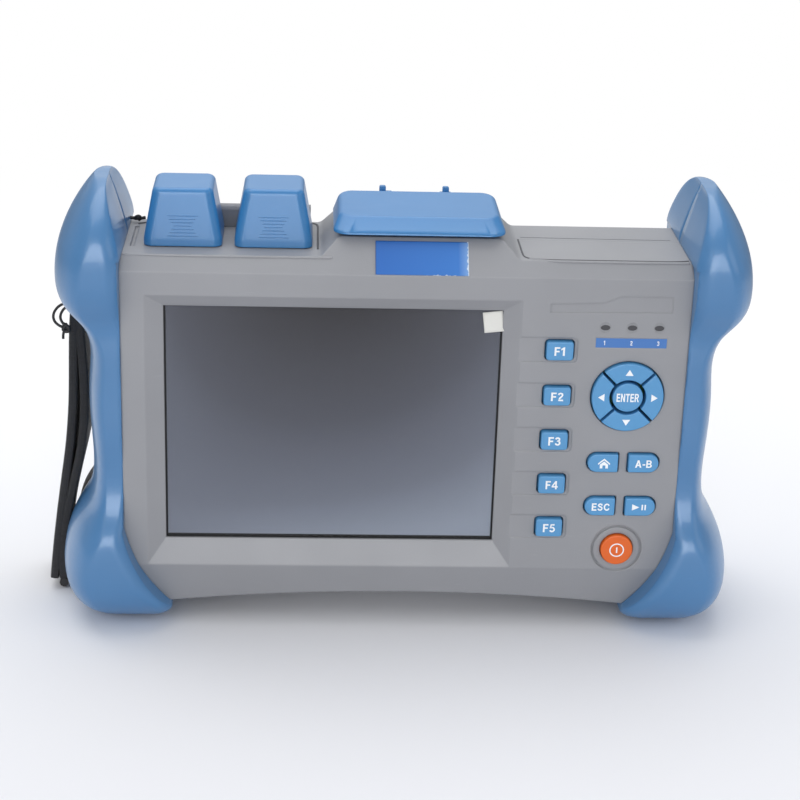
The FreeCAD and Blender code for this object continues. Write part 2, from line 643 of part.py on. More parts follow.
def rear_shell():
    shell = case_block("rear_shell", "seam_depth", "case_depth - seam_depth")
    back = size("case_depth") - 1e-6
    round_edges(shell, shell.Tip, "back_round", lambda e: e.BoundBox.YMin > back
                and e.BoundBox.ZMin > size("case_top") - 1e-6)
    cavity = sketch(shell, "XZ_Plane", "seam_depth")
    polygon(cavity, case_corners("case_wall", hump=False))
    pocket(shell, cavity, "case_depth - seam_depth - case_wall")
    pan = sketch(shell, "XZ_Plane", "case_depth - screen_wall")
    polygon(pan, box_corners("0", "(stand_low + stand_hinge) / 2", "2 * (stand_half + pan_margin)",
                             "stand_hinge - stand_low + 4 * pan_margin"))
    pad(shell, pan, "screen_wall - case_wall + 0.5")
    bay = sketch(shell, "XZ_Plane", "case_depth - door_thick - bay_deep - bay_wall")
    polygon(bay, box_corners("0", "bay_low + bay_height / 2", "2 * (bay_half + bay_wall)",
                             "bay_height + 2 * bay_wall"))
    pad(shell, bay, "bay_deep + bay_wall")
    bosses(shell, "seam_depth", "case_depth - seam_depth - case_wall", CASE_SCREWS, "boss_radius")
    screw_bores(shell, "seam_depth", CASE_SCREWS, "screw_radius + 0.1")
    screw_bores(shell, "case_depth", CASE_SCREWS, "screw_head + 0.2", "screw_sink", forward=False)

    door = sketch(shell, "XZ_Plane", "case_depth")
    polygon(door, box_corners("0", "bay_low + bay_height / 2", "2 * (bay_half + door_lap + door_gap)",
                              "bay_height + 2 * (door_lap + door_gap)", "2.3"))
    pocket(shell, door, "door_thick", forward=False)
    room = sketch(shell, "XZ_Plane", "case_depth")
    polygon(room, box_corners("0", "bay_low + bay_height / 2", "2 * bay_half", "bay_height"))
    pocket(shell, room, "door_thick + bay_deep", forward=False)
    spots = [(f"{s}(bay_half + door_lap / 2)", "bay_low + bay_height / 2") for s in "-+"]
    screw_bores(shell, "case_depth", spots, "door_screw", "screen_wall - 0.5", forward=False)
    outer = stand_corners("stand_gap")
    recess = sketch(shell, "XZ_Plane", "case_depth")
    polygon(recess, outer)
    pocket(shell, recess, "stand_thick + stand_gap", forward=False)
    for side in ("-(stand_half + 2.5)", "stand_half - stand_leg - 2.5"):
        hinge = sketch(shell, "YZ_Plane", side)
        circle(hinge, "case_depth - stand_thick / 2", "stand_hinge", "pin_radius")
        pocket(shell, hinge, "stand_leg + 5", role="YZ_Plane")
    top_holes(shell)

    post = sketch(shell, "YZ_Plane", "cover_x")
    polygon(post, [("cover_hinge_back - barrel + 0.6", f"{HUMP_TOP} - 1"), ("case_depth", f"{HUMP_TOP} - 1"),
                   ("case_depth", f"{HUMP_TOP} + cover_hinge_rise + barrel - 0.8", "1.7"),
                   ("cover_hinge_back - barrel + 0.6", f"{HUMP_TOP} + cover_hinge_rise + barrel - 0.8", "1.7")])
    pad(shell, post, "2 * (ear_spread - ear_width / 2 - lug_gap)", "YZ_Plane", both=True)
    bore = sketch(shell, "YZ_Plane", "cover_x")
    circle(bore, "cover_hinge_back", f"{HUMP_TOP} + cover_hinge_rise", "pin_radius")
    pocket(shell, bore, "2 * ear_spread", role="YZ_Plane", both=True)


def stand_corners(grow):
    """Front view of the fold-out stand, a frame that is open at the hinge."""
    low, high = f"stand_low - {grow}", f"stand_hinge + stand_thick / 2 + {grow}"
    out, inn = f"stand_half + {grow}", f"stand_half - stand_leg - {grow}"
    foot = f"stand_low + stand_foot + {grow}"
    return [(f"-({out})", low, "3"), (out, low, "3"), (out, high), (inn, high), (inn, foot, "3"),
            (f"-({inn})", foot, "3"), (f"-({inn})", high), (f"-({out})", high)]


# ---------------------------------------------------------------- screen

def screen():
    glass = body("touch_window")
    face = sketch(glass, "XZ_Plane", LIP_BACK)
    wide = "screen_width + 2 * (window_lap - display_slack)"
    tall = "screen_height + 2 * (window_lap - display_slack)"
    middle = ("screen_middle", "screen_low + screen_height / 2")
    polygon(face, box_corners(*middle, wide, tall, "0.8"))
    pad(glass, face, "window_thick")
    gasket = body("display_gasket")
    rim = sketch(gasket, "XZ_Plane", WINDOW_BACK)
    polygon(rim, box_corners(*middle, wide, tall))
    polygon(rim, box_corners(*middle, f"{wide} - 2 * gasket_width", f"{tall} - 2 * gasket_width"))
    pad(gasket, rim, "gasket_thick")
    keep(block("screen_middle", DISPLAY_FRONT, "screen_low - window_lap + display_slack",
               wide, "display_thick", tall), "display_module")
    plate = block("screen_middle", f"{BRACKET_BACK} - bracket_thick", "screen_low - window_lap",
                  "screen_width + 2 * window_lap + 6.6", "bracket_thick", "screen_height + 2 * window_lap")
    posts = [rod_y(f"screen_middle {side} (screen_width / 2 + window_lap + 3)", "screen_wall", z, "2.4",
                   f"{BOARD_FRONT} - screen_wall")
             for side in "-+" for z in ("screen_low + 2", "screen_low + screen_height - 2")]
    keep(fuse([plate] + posts), "display_bracket")
    keep(block("screen_middle", f"{LIP_BACK} - film_thick", "screen_low + film_inset",
               "screen_width - 2 * film_inset", "film_thick", "screen_height - 2 * film_inset"), "screen_film")
    tab = solid("Box", "screen_middle + screen_width / 2 - tab_width - film_inset",
                f"{LIP_BACK} - 2 * film_thick", "screen_low + screen_height - tab_height - 0.8",
                Length="tab_width", Width="film_thick", Height="tab_height")
    keep(tab, "film_tab")


def labels_and_lamps():
    keep(block("lamp_x", "0", "strip_z - strip_height / 2", "strip_width", "groove_depth", "strip_height"),
         "indicator_strip")
    lamps = [rod_y(f"lamp_x + {n} * lamp_pitch", "0.3", "lamp_z", "lamp_radius", "keypad_back - 0.3")
             for n in (-1, 0, 1)]
    keep(group(lamps), "indicator_lamps")
    plate = solid("Box", "plate_x - plate_width / 2", "0", "face_high", (Vector(1, 0, 0), -45),
                  Length="plate_width", Width="plate_thick", Height="plate_height")
    bind(plate, "Placement.Base.y", f"{CASE_Y} - plate_thick * cos(45) + 0.2")
    bind(plate, "Placement.Base.z", "face_high + plate_thick * sin(45) + 0.2")
    keep(plate, "name_plate")


# ---------------------------------------------------------------- keys

def key(label, kind, x, z):
    """A key cap with a retaining flange behind the front wall, drawn about its own middle."""
    cap = body(label, f"{CASE_X} + {x}", CASE_Y, z)
    outline = sketch(cap, "XZ_Plane", "-key_proud")
    polygon(outline, key_outline(kind))
    top = pad(cap, outline, f"key_proud + {KEY_BACK}")
    round_edges(cap, top, "key_crown", lambda e: e.BoundBox.YMax < -size("key_proud") + 1e-6)
    flange = sketch(cap, "XZ_Plane", "case_wall + flange_rest")
    polygon(flange, key_outline(kind, "key_flange"))
    pad(cap, flange, "flange_thick")


def round_key(label, x, z, radius, flange="key_flange"):
    cap = body(label, f"{CASE_X} + {x}", CASE_Y, z)
    outline = sketch(cap, "XZ_Plane", "-key_proud")
    circle(outline, "0", "0", radius)
    top = pad(cap, outline, f"key_proud + {KEY_BACK}")
    round_edges(cap, top, "key_crown", lambda e: e.BoundBox.YMax < -size("key_proud") + 1e-6)
    if flange:
        rim = sketch(cap, "XZ_Plane", "case_wall + flange_rest")
        circle(rim, "0", "0", f"{radius} + {flange}")
        pad(cap, rim, "flange_thick")


def arrow_key(label, quarter):
    """A quarter of the ring round the enter key; the quarter is turned about the pad's axis."""
    cap = body(label, f"{CASE_X} + pad_x", CASE_Y, "pad_z")
    cap.Placement.Rotation = Rotation(Vector(0, 1, 0), 90 * quarter)
    disc = sketch(cap, "XZ_Plane", "-key_proud")
    circle(disc, "0", "0", "pad_radius")
    pad(cap, disc, f"key_proud + {KEY_BACK}")
    rim = sketch(cap, "XZ_Plane", "case_wall + flange_rest")
    circle(rim, "0", "0", "pad_radius + key_flange")
    pad(cap, rim, "flange_thick")
    centre = sketch(cap, "XZ_Plane", "-key_proud")
    circle(centre, "0", "0", "enter_radius + key_gap")
    pocket(cap, centre)
    rest = sketch(cap, "XZ_Plane", "-key_proud")
    far = "2 * pad_radius"
    polygon(rest, [("0", "key_gap"), (far, f"{far} + key_gap"), (far, f"-({far})"),
                   (f"-({far})", f"-({far})"), (f"-({far})", f"{far} + key_gap")])
    last = pocket(cap, rest)
    round_edges(cap, last, "key_crown", lambda e: e.BoundBox.YMax < -size("key_proud") + 1e-6)


def keys():
    for label, kind, x, z in KEYS:
        key(label, kind, x, z)
    for quarter, label in enumerate(("key_up", "key_right", "key_down", "key_left")):
        arrow_key(label, quarter)
    round_key("key_enter", "pad_x", "pad_z", "enter_radius", None)
    round_key("power_button", "power_x", "power_z", "power_radius")


# ---------------------------------------------------------------- inside

def inside():
    spots = [(x, z) for _, _, x, z in KEYS] + [("pad_x", "pad_z"), ("power_x", "power_z")]
    spots += [(f"pad_x {s} 10", "pad_z") for s in "-+"] + [("pad_x", f"pad_z {s} 10") for s in "-+"]
    switch_top = f"{KEY_BACK} + key_travel + flange_rest"
    switches = [block(x, switch_top, f"{z} - switch_side / 2", "switch_side", f"keypad_back - ({switch_top})",
                      "switch_side") for x, z in spots]
    sheet_board = block("70", "keypad_back", "bend_high + 4.5", "46", "board_thick", "98")
    keep(fuse([sheet_board] + switches), "keypad_board")
    packages = (("50", "60", "22", "22"), ("62", "100", "16", "12"), ("20", "118", "12", "12"))
    chips = [block(x, f"{BOARD_FRONT} + board_thick", z, width, "1.4", height)
             for x, z, width, height in packages]
    board = block("0", BOARD_FRONT, "46", "178", "board_thick", "90")
    keep(fuse([board] + chips), "main_board")
    back = f"{BOARD_FRONT} + board_thick"
    keep(block("cap_x", back, "111.5", "50", "16", "case_top - port_drop - 111.5"), "optical_module")
    spool_x, spool_z = "cap_x + 1", "74"
    rim = rod_y(spool_x, back, spool_z, "spool_radius", "spool_thick")
    waist = cut(rod_y(spool_x, f"{back} + 1.2", spool_z, "spool_radius + 1", "spool_thick - 2.4"),
                [rod_y(spool_x, f"{back} + 1.2", spool_z, "spool_radius - 3", "spool_thick - 2.4")])
    keep(cut(rim, [waist, rod_y(spool_x, back, spool_z, "spool_radius - 12", "spool_thick")]), "fibre_spool")
    keep(block("0", "case_depth - door_thick - bay_deep + 0.1", "bay_low + battery_slack",
               "2 * (bay_half - battery_slack)", "bay_deep - 0.4", "bay_height - 2 * battery_slack"),
         "battery_pack")


def ports():
    """The two fibre ports under the dust caps, and the panel with its sockets under the cover."""
    for side, label, radius in (("-", "otdr_port", "port_radius"), ("+", "vfl_port", "port_radius - 0.6")):
        x = f"cap_x {side} cap_pitch / 2"
        flange = block(x, "port_back - port_flange / 2", "case_top",
                       "port_flange", "port_flange", "port_flange_thick")
        barrel = rod_z(x, "port_back", "case_top - port_drop", radius, "port_drop + port_rise")
        collar = rod_z(x, "port_back", "case_top", f"{radius} + 1", "port_flange_thick + 1.5")
        bore = rod_z(x, "port_back", "case_top + port_rise - ferrule_depth",
                     "ferrule_radius", "ferrule_depth")
        keep(cut(fuse([flange, barrel, collar]), [bore]), label)
    low = f"{HUMP_TOP} - panel_sink - panel_thick"
    middle = "panel_front + panel_depth / 2"
    panel = block("panel_x", "panel_front", low, "panel_width", "panel_depth", "panel_thick")
    sockets = [  # name, middle from the panel's middle, outer width and depth, mouth width and depth, height
        ("ethernet_jack", "-15", 16.0, 13.5, 11.8, 8.6, 15.0),
        ("usb_host_port", "-0.5", 7.0, 14.4, 5.2, 12.6, 13.0),
        ("usb_device_port", "8.5", 5.2, 9.6, 3.4, 7.8, 9.0),
    ]
    mouths = []
    for label, x, width, depth, mouth, deep, height in sockets:
        x = f"panel_x + {x}"
        shell = block(x, f"{middle} - {depth / 2}", f"{low} - {height}", str(width), str(depth), str(height))
        hollow = block(x, f"{middle} - {deep / 2}", f"{low} - {height - 2}", str(mouth), str(deep), str(height))
        mouths.append(block(x, f"{middle} - {deep / 2}", low, str(mouth), str(deep), "panel_thick + 1"))
        tongue = block(x, f"{middle} - {deep / 2 - 1}", f"{low} - {height - 1}",
                       str(mouth / 4), str(deep - 2), str(height - 3))
        jack = cut(shell, [hollow])
        keep(fuse([jack, tongue]) if mouth < 6 else jack, label)
    x = "panel_x + 18"
    jack = block(x, f"{middle} - 4.5", f"{low} - 11", "9", "9", "11")
    jack = cut(jack, [rod_z(x, middle, f"{low} - 9.5", "3.2", "9.5")])
    keep(fuse([jack, rod_z(x, middle, f"{low} - 10", "1", "8.5")]), "dc_jack")
    mouths.append(rod_z(x, middle, low, "3.4", "panel_thick + 1"))
    keep(cut(panel, mouths), "port_panel")


# ---------------------------------------------------------------- caps and cover

def dust_cap(label, side):
    """A tapered hollow cap about the middle of its base, with a hinge lug behind."""
    cap = body(label, f"{CASE_X} + cap_x {side} cap_pitch / 2", f"{CASE_Y} + cap_front", "case_top")
    low = ("0", "cap_depth / 2", "cap_width", "cap_depth")
    high = ("0", "(cap_depth + cap_lean) / 2", "cap_width - 2 * cap_taper", "cap_depth - cap_lean")
    skirt = sketch(cap, "XY_Plane", "cap_rest")
    polygon(skirt, box_corners(*low, "cap_round"))
    pad(cap, skirt, "cap_skirt", "XY_Plane")
    base = sketch(cap, "XY_Plane", "cap_rest + cap_skirt")
    polygon(base, box_corners(*low, "cap_round"))
    crest = sketch(cap, "XY_Plane", "cap_height")
    polygon(crest, box_corners(*high, "cap_round"))
    outside = loft(cap, base, crest)
    round_edges(cap, outside, "cap_crown", lambda e: e.BoundBox.ZMin > size("cap_height") - 1e-6)
    arm = sketch(cap, "YZ_Plane")
    hinge_y, hinge_z = "cap_hinge_back - cap_front", "cap_hinge_rise"
    polygon(arm, [("cap_depth - cap_wall", f"{hinge_z} - barrel"),
                  (f"{hinge_y} + barrel", f"{hinge_z} - barrel", "barrel - 0.05"),
                  (f"{hinge_y} + barrel", f"{hinge_z} + barrel", "barrel - 0.05"),
                  ("cap_depth - cap_wall", f"{hinge_z} + barrel")])
    pad(cap, arm, "lug_width", "YZ_Plane", both=True)
    eye = sketch(cap, "YZ_Plane")
    circle(eye, hinge_y, hinge_z, "pin_radius + pin_fit")
    pocket(cap, eye, "2 * lug_width", role="YZ_Plane", both=True)
    floor = sketch(cap, "XY_Plane", "0")
    polygon(floor, box_corners(low[0], low[1], f"{low[2]} - 2 * cap_wall", f"{low[3]} - 2 * cap_wall",
                               "cap_round - cap_wall"))
    roof = sketch(cap, "XY_Plane", "cap_height - cap_wall")
    polygon(roof, box_corners(high[0], high[1], f"{high[2]} - 2 * cap_wall", f"{high[3]} - 2 * cap_wall",
                              "cap_round - cap_wall"))
    loft(cap, floor, roof, "PartDesign::SubtractiveLoft")


def cap_hinge():
    rack = body("cap_hinge_block", f"{CASE_X} + cap_x", f"{CASE_Y} + cap_hinge_back", "case_top")
    side = sketch(rack, "YZ_Plane")
    high = "cap_hinge_rise + barrel"
    polygon(side, [("-block_depth / 2", "0"), ("block_depth / 2", "0"), ("block_depth / 2", high, "1.5"),
                   ("-block_depth / 2", high, "1.5")])
    pad(rack, side, "2 * block_end", "YZ_Plane", both=True)
    slots = sketch(rack, "XZ_Plane")
    for sign in "-+":
        polygon(slots, box_corners(f"{sign}cap_pitch / 2", "cap_hinge_rise + 3", "lug_width + 2 * lug_gap",
                                   "2 * barrel + 6 + 2 * lug_gap"))
    pocket(rack, slots, "2 * block_depth", both=True)
    bore = sketch(rack, "YZ_Plane")
    circle(bore, "0", "cap_hinge_rise", "pin_radius")
    pocket(rack, bore, "2 * block_end - 4", role="YZ_Plane", both=True)
    keep(rod_x("cap_x - block_end + 2", "cap_hinge_back", "case_top + cap_hinge_rise", "pin_radius",
               "2 * block_end - 4"), "cap_hinge_pin")


def port_cover():
    cover = body("port_cover", f"{CASE_X} + cover_x", CASE_Y, HUMP_TOP)
    span = "cover_back - cover_front"
    skirt = sketch(cover, "XY_Plane", "cover_rest")
    polygon(skirt, box_corners("0", "(cover_front + cover_back) / 2", "cover_width", span, "cover_round"))
    pad(cover, skirt, "1.2", "XY_Plane")
    base = sketch(cover, "XY_Plane", "cover_rest + 1.2")
    polygon(base, box_corners("0", "(cover_front + cover_back) / 2", "cover_width", span, "cover_round"))
    crest = sketch(cover, "XY_Plane", "cover_rest + cover_height")
    crest_middle = ("0", "(cover_front + cover_lean + cover_back) / 2")
    polygon(crest, box_corners(*crest_middle, "cover_width - 2 * cover_side", f"{span} - cover_lean",
                               "cover_round"))
    dome = loft(cover, base, crest)
    top = size("cover_rest + cover_height")
    round_edges(cover, dome, "cover_crown", lambda e: e.BoundBox.ZMin > top - 1e-6)
    for sign in "-+":
        ear = sketch(cover, "YZ_Plane", f"{sign}ear_spread")
        polygon(ear, [("cover_back - cover_wall", "cover_hinge_rise - 1.4"),
                      ("cover_hinge_back + barrel", "cover_hinge_rise - barrel + 0.4", "barrel - 0.7"),
                      ("cover_hinge_back + barrel", "cover_hinge_rise + barrel", "barrel - 0.3"),
                      ("cover_back - cover_wall", "cover_hinge_rise + barrel")])
        pad(cover, ear, "ear_width", "YZ_Plane", both=True)
    eye = sketch(cover, "YZ_Plane")
    circle(eye, "cover_hinge_back", "cover_hinge_rise", "pin_radius + pin_fit")
    pocket(cover, eye, "2 * cover_width", role="YZ_Plane", both=True)
    room = sketch(cover, "XY_Plane", "cover_rest")
    polygon(room, box_corners(*crest_middle, "cover_width - 2 * (cover_side + cover_wall)",
                              f"{span} - cover_lean - 2 * cover_wall", "cover_round - cover_wall"))
    pocket(cover, room, "cover_height - cover_wall", role="XY_Plane")
    keep(rod_x("cover_x - ear_spread - ear_width / 2", "cover_hinge_back", f"{HUMP_TOP} + cover_hinge_rise",
               "pin_radius", "2 * ear_spread + ear_width"), "cover_hinge_pin")


# ---------------------------------------------------------------- back and fasteners

def back_pieces():
    frame = body("stand")
    outline = sketch(frame, "XZ_Plane", "case_depth - stand_thick")
    polygon(outline, stand_corners("0"))
    plate = pad(frame, outline, "stand_thick")
    high = size("stand_hinge + stand_thick / 2")
    round_edges(frame, plate, "stand_thick / 2 - 0.05",
                lambda e: e.BoundBox.ZMin > high - 1e-6 and e.BoundBox.XLength > size("stand_leg") - 1e-6)
    eye = sketch(frame, "YZ_Plane")
    circle(eye, "case_depth - stand_thick / 2", "stand_hinge", "pin_radius + pin_fit")
    pocket(frame, eye, "4 * stand_half", role="YZ_Plane", both=True)
    pins = [rod_x(x, "case_depth - stand_thick / 2", "stand_hinge", "pin_radius", "stand_leg + 4")
            for x in ("-(stand_half + 2)", "stand_half - stand_leg - 2")]
    keep(group(pins), "stand_pins")

    door = body("battery_cover")
    face = sketch(door, "XZ_Plane", "case_depth - door_thick")
    polygon(face, box_corners("0", "bay_low + bay_height / 2", "2 * (bay_half + door_lap)",
                              "bay_height + 2 * door_lap", "2"))
    pad(door, face, "door_thick")
    spots = [(f"{s}(bay_half + door_lap / 2)", "bay_low + bay_height / 2") for s in "-+"]
    screw_bores(door, "case_depth - door_thick", spots, "door_screw")
    screw_bores(door, "case_depth", spots, "door_screw + 0.8", "1.1", forward=False)
    small = []
    for x, z in spots:
        small.append(fuse([rod_y(x, "case_depth - 6.5", z, "door_screw", "6"),
                           rod_y(x, "case_depth - 1.1", z, "door_screw + 0.75", "1")]))
    keep(group(small), "battery_cover_screws")
    large = []
    for x, z in CASE_SCREWS:
        large.append(fuse([rod_y(str(x), "seam_depth - 11", str(z), "screw_radius",
                                 "case_depth - screw_sink - seam_depth + 12"),
                           rod_y(str(x), "case_depth - screw_sink", str(z), "screw_head",
                                 "screw_sink - 0.3")]))
    keep(group(large), "case_screws")


# ---------------------------------------------------------------- bumpers

def swell(z, middle, below, above):
    """A smooth swelling: 1 at the middle, 0 at its ends, with a full shoulder."""
    share = (z - middle) / (above if z > middle else below)
    return math.cos(math.pi / 2 * abs(share) ** 1.3) ** 2 if abs(share) < 1 else 0.0


def end_round(z, end, height, depth):
    """How far an elliptic end rounding of this height and depth draws the surface in at height z."""
    near = 1 - abs(end - z) / height
    return depth * (1 - math.sqrt(1 - near ** 2)) if near > 0 else 0.0


def corner_curve():
    """Circle of the case's lower corner, through its two ends and its bulge."""
    low = Vector(size("foot_half"), 0, size("foot_low"))
    high = Vector(size("case_half"), 0, size("corner_high"))
    bulge = (low + high) / 2 + Vector(1, 0, -0.5) * size("corner_bow")
    return Part.Arc(low, bulge, high).toShape()


def grip_section(z, half):
    """One level section of half the right bumper, in the case's frame, as a rounded wire."""
    top, upper, lower = size("grip_high"), size("upper_lobe"), size("lower_lobe")
    away_from_waist = (z - size("waist_middle")) / (upper - size("waist_middle"))
    waist = size("waist_reach") + size("waist_bow") * away_from_waist ** 2
    widest, foot = size("waist_reach + upper_reach"), size("waist_reach + lower_reach")
    reach = waist + (widest - waist) * swell(z, upper, size("upper_spread"), top)
    reach += (foot - waist) * swell(z, lower, lower, size("lower_spread"))
    if z > upper:
        share = (z - upper) / (top - upper)
        reach = widest + (size("crown_reach + crown_width / 2") - widest) * share ** 2
    if z < lower:
        share = (lower - z) / (lower + 1.5)
        reach = foot - 20 * (1 - math.sqrt(1 - share ** 2))
    inner = size("case_half") - size("grip_bury")
    if z < size("corner_high"):
        curve = corner_curve().Curve
        level = max(z, size("foot_low"))
        centre, radius = curve.Center, curve.Radius
        inner = centre.x + math.sqrt(radius ** 2 - (level - centre.z) ** 2) - size("grip_bury")
    if z < size("foot_low"):
        share = 1 - z / size("foot_low")
        inner += size("foot_end") * (1 - math.sqrt(1 - share ** 2))
    if z > size("case_top"):
        share = (z - size("case_top")) / (top - size("case_top"))
        inner += (size("crown_reach - crown_width / 2") - inner) * share ** 1.25
    nose, shelf = size("upper_nose"), size("lower_shelf")
    deep = swell(z, nose, size("upper_spread"), 2 * (top - nose))
    deep += 1.0 if z < shelf else swell(z, shelf, shelf, size("shelf_fade"))
    proud = size("waist_proud") + size("lobe_proud - waist_proud") * deep
    behind = size("waist_behind") + size("lobe_behind - waist_behind") * deep
    foot_round = size("foot_round_" + ("front" if half == "front" else "back"))
    drawn_in = end_round(z, top, size("crest_fall"), size(f"crest_round_{'front' if half == 'front' else 'back'}"))
    drawn_in += end_round(z, 0, foot_round, foot_round)
    end = drawn_in - proud if half == "front" else size("case_depth") + behind - drawn_in
    lip = size("grip_lip") + size("grip_round - grip_lip") * deep
    side = size("waist_side") + size("grip_side - waist_side") * deep
    fit = min(1.0, (reach - inner - 0.3) / (lip + side))
    return half_section(inner, reach, end, size("seam_depth"), lip * fit, side * fit, z)


def half_section(x0, x1, end, seam, inner, side, z):
    """A level wire from the seam to its end: an elliptic outer side at x1, a rounded edge at x0."""
    away = 1 if end > seam else -1
    slant = math.sqrt(0.5)

    def at(x, y):
        return Vector(x, y, z)
    ellipse = Part.Ellipse(at(x1 - side, end), at(x1, seam), at(x1 - side, seam))
    sides = [Part.LineSegment(at(x0, seam), at(x1, seam)),
             Part.ArcOfEllipse(ellipse, 0, math.pi / 2),
             Part.LineSegment(at(x1 - side, end), at(x0 + inner, end)),
             Part.Arc(at(x0 + inner, end),
                      at(x0 + inner * (1 - slant), end - away * inner * (1 - slant)),
                      at(x0, end - away * inner)),
             Part.LineSegment(at(x0, end - away * inner), at(x0, seam))]
    return Part.Wire([side.toShape() for side in sides])


def case_prism():
    """The case's outline without the hump, drawn through front and back."""
    half, top = size("case_half"), size("case_top")
    right = corner_curve()
    low, high = Vector(size("foot_half"), 0, size("foot_low")), Vector(half, 0, size("corner_high"))
    bulge = right.valueAt((right.FirstParameter + right.LastParameter) / 2)
    flip = lambda p: Vector(-p.x, 0, p.z)
    corners = [right,
               Part.LineSegment(high, Vector(half, 0, top)).toShape(),
               Part.LineSegment(Vector(half, 0, top), Vector(-half, 0, top)).toShape(),
               Part.LineSegment(Vector(-half, 0, top), flip(high)).toShape(),
               Part.Arc(flip(high), flip(bulge), flip(low)).toShape(),
               Part.LineSegment(flip(low), low).toShape()]
    face = Part.Face(Part.Wire(corners))
    face.translate(Vector(0, -size("overall_depth"), 0))
    return face.extrude(Vector(0, 3 * size("overall_depth"), 0))


def grip_levels():
    """Heights of the level sections: closer where the foot, the shelf, the nose and the crest turn."""
    foot, shelf, fade = size("foot_round_front"), size("lower_shelf"), size("shelf_fade")
    spread, crest, top = size("upper_spread"), size("crest_fall"), size("grip_high")
    levels = [foot * (1 - math.cos(math.pi / 2 * n / 4)) for n in range(5)]
    levels += [shelf + fade * n / 3 for n in range(4)]
    levels += [size("waist_middle") + (size("upper_lobe") - spread - size("waist_middle")) * n / 2 for n in (0, 1)]
    levels += [size("upper_lobe") - spread + spread * n / 4 for n in range(5)] + [size("upper_nose")]
    return levels + [top - crest * (1 - math.sin(math.pi / 2 * n / 5)) for n in range(6)]


def bumpers():
    heights = grip_levels()
    for half in ("front", "rear"):
        right = Part.makeLoft([grip_section(z, half) for z in heights], True, False).cut(case_prism())
        free_form(f"bumper_right_{half}", right)
        free_form(f"bumper_left_{half}", right.mirror(Vector(), Vector(1, 0, 0)))


def free_form(label, shape):
    """A free form with its shape set here, then placed on the case."""
    new = keep(doc.addObject("Part::Feature", "Form_" + label), label)
    new.Shape = shape.Solids[0] if len(shape.Solids) == 1 else shape
    place(new)
    return new


# ---------------------------------------------------------------- strap and cords

def strap():
    """Webbing that hangs beside the left bumper and is folded up at its lower end."""
    low = -size("strap_reach")
    fold = 3.3
    outer = [(low + 10.6, 115), (low + 8.6, 104), (low + 7.2, 78), (low + 5.6, 56), (low + 2.9, 33),
             (low + 0.3, 12), (low, fold + 0.8)]
    inner = [(low + 2 * fold, fold + 0.8), (low + 6.7, 24), (low + 8.2, 40), (low + 10.8, 54),
             (low + 13.6, 70), (low + 15.2, 90), (low + 14.6, 108)]
    curves = []
    for points in (outer, inner):
        curve = Part.BSplineCurve()
        curve.interpolate([Vector(x, 0, z) for x, z in points])
        curves.append(curve.toShape())
    ends = [curve.valueAt(at) for curve in curves for at in (curve.FirstParameter, curve.LastParameter)]
    turn = Part.Arc(ends[1], Vector(low + fold, 0, 0.8), ends[2]).toShape()
    crown = Part.LineSegment(ends[3], ends[0]).toShape()
    face = Part.Face(Part.Wire([curves[0], turn, curves[1], crown]))
    face.translate(Vector(0, size("strap_front"), 0))
    free_form("strap", face.extrude(Vector(0, size("strap_width"), 0)))


def tube(points, radius):
    """A cord along straight runs joined by tangent arcs."""
    spots = [Vector(*p) for p in points]
    edges, start = [], spots[0]
    for before, here, after in zip(spots, spots[1:], spots[2:]):
        back, ahead = (before - here).normalize(), (after - here).normalize()
        half = back.getAngle(ahead) / 2
        reach = 0.45 * min((before - here).Length, (after - here).Length)
        bend = reach * math.tan(half)
        first, last = here + back * reach, here + ahead * reach
        inward = (back + ahead).normalize()
        middle = here + inward * (bend / math.sin(half) - bend)
        edges += [Part.LineSegment(start, first).toShape(), Part.Arc(first, middle, last).toShape()]
        start = last
        print("cord bend radius", round(bend, 1))
    edges.append(Part.LineSegment(start, spots[-1]).toShape())
    path = Part.Wire(edges)
    ring = Part.Wire(Part.Circle(spots[0], spots[1] - spots[0], radius).toShape())
    pipe = path.makePipeShell([ring], True, False)
    expected = math.pi * radius ** 2 * path.Length
    print("cord length", round(path.Length, 1), "volume share", round(pipe.Volume / expected, 3))
    return pipe


def cords():
    loop = [(-121.5, 28.2, 117.4), (-125.2, 28.2, 117.8), (-129.2, 28.1, 113.2), (-127.8, 28.2, 108.6),
            (-123.6, 28.2, 107.4)]
    free_form("strap_loop", tube(loop, size("cord_radius")))


# ---------------------------------------------------------------- build

front_shell()
rear_shell()
screen()
labels_and_lamps()
keys()
inside()
ports()
dust_cap("otdr_cap", "-")
dust_cap("vfl_cap", "+")
cap_hinge()
port_cover()
back_pieces()
bumpers()
strap()
cords()
doc.recompute()


def check():
    """Stops if any object failed or any cut removed nothing."""
    for obj in doc.Objects:
        bad = {"Invalid", "Error"} & set(obj.State)
        if bad:
            raise RuntimeError(f"{obj.Name} in {obj.Label}: {obj.State}")
        if obj.TypeId in ("PartDesign::Pocket", "PartDesign::SubtractiveLoft"):
            if obj.Shape.Volume > obj.BaseFeature.Shape.Volume - 1e-3:
                raise RuntimeError(f"{obj.Name} cut nothing")
    for piece in pieces:
        if piece.Shape.isNull() or not piece.Shape.isValid():
            raise RuntimeError(f"{piece.Label} has no valid shape")


check()
os.makedirs("parts", exist_ok=True)
for piece in pieces:
    piece.Shape.exportStep(f"parts/{piece.Label}.step")
print(len(pieces), "pieces")
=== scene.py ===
"""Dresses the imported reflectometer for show: finishes, printed legends, webbing strap, light and camera.

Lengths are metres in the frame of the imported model, written as millimetres times MM. The case's own
frame is used for places: x from the case's middle, y back from its front face, z over the table.
"""
import json
import math

import bmesh
import bpy
from mathutils import Matrix, Vector


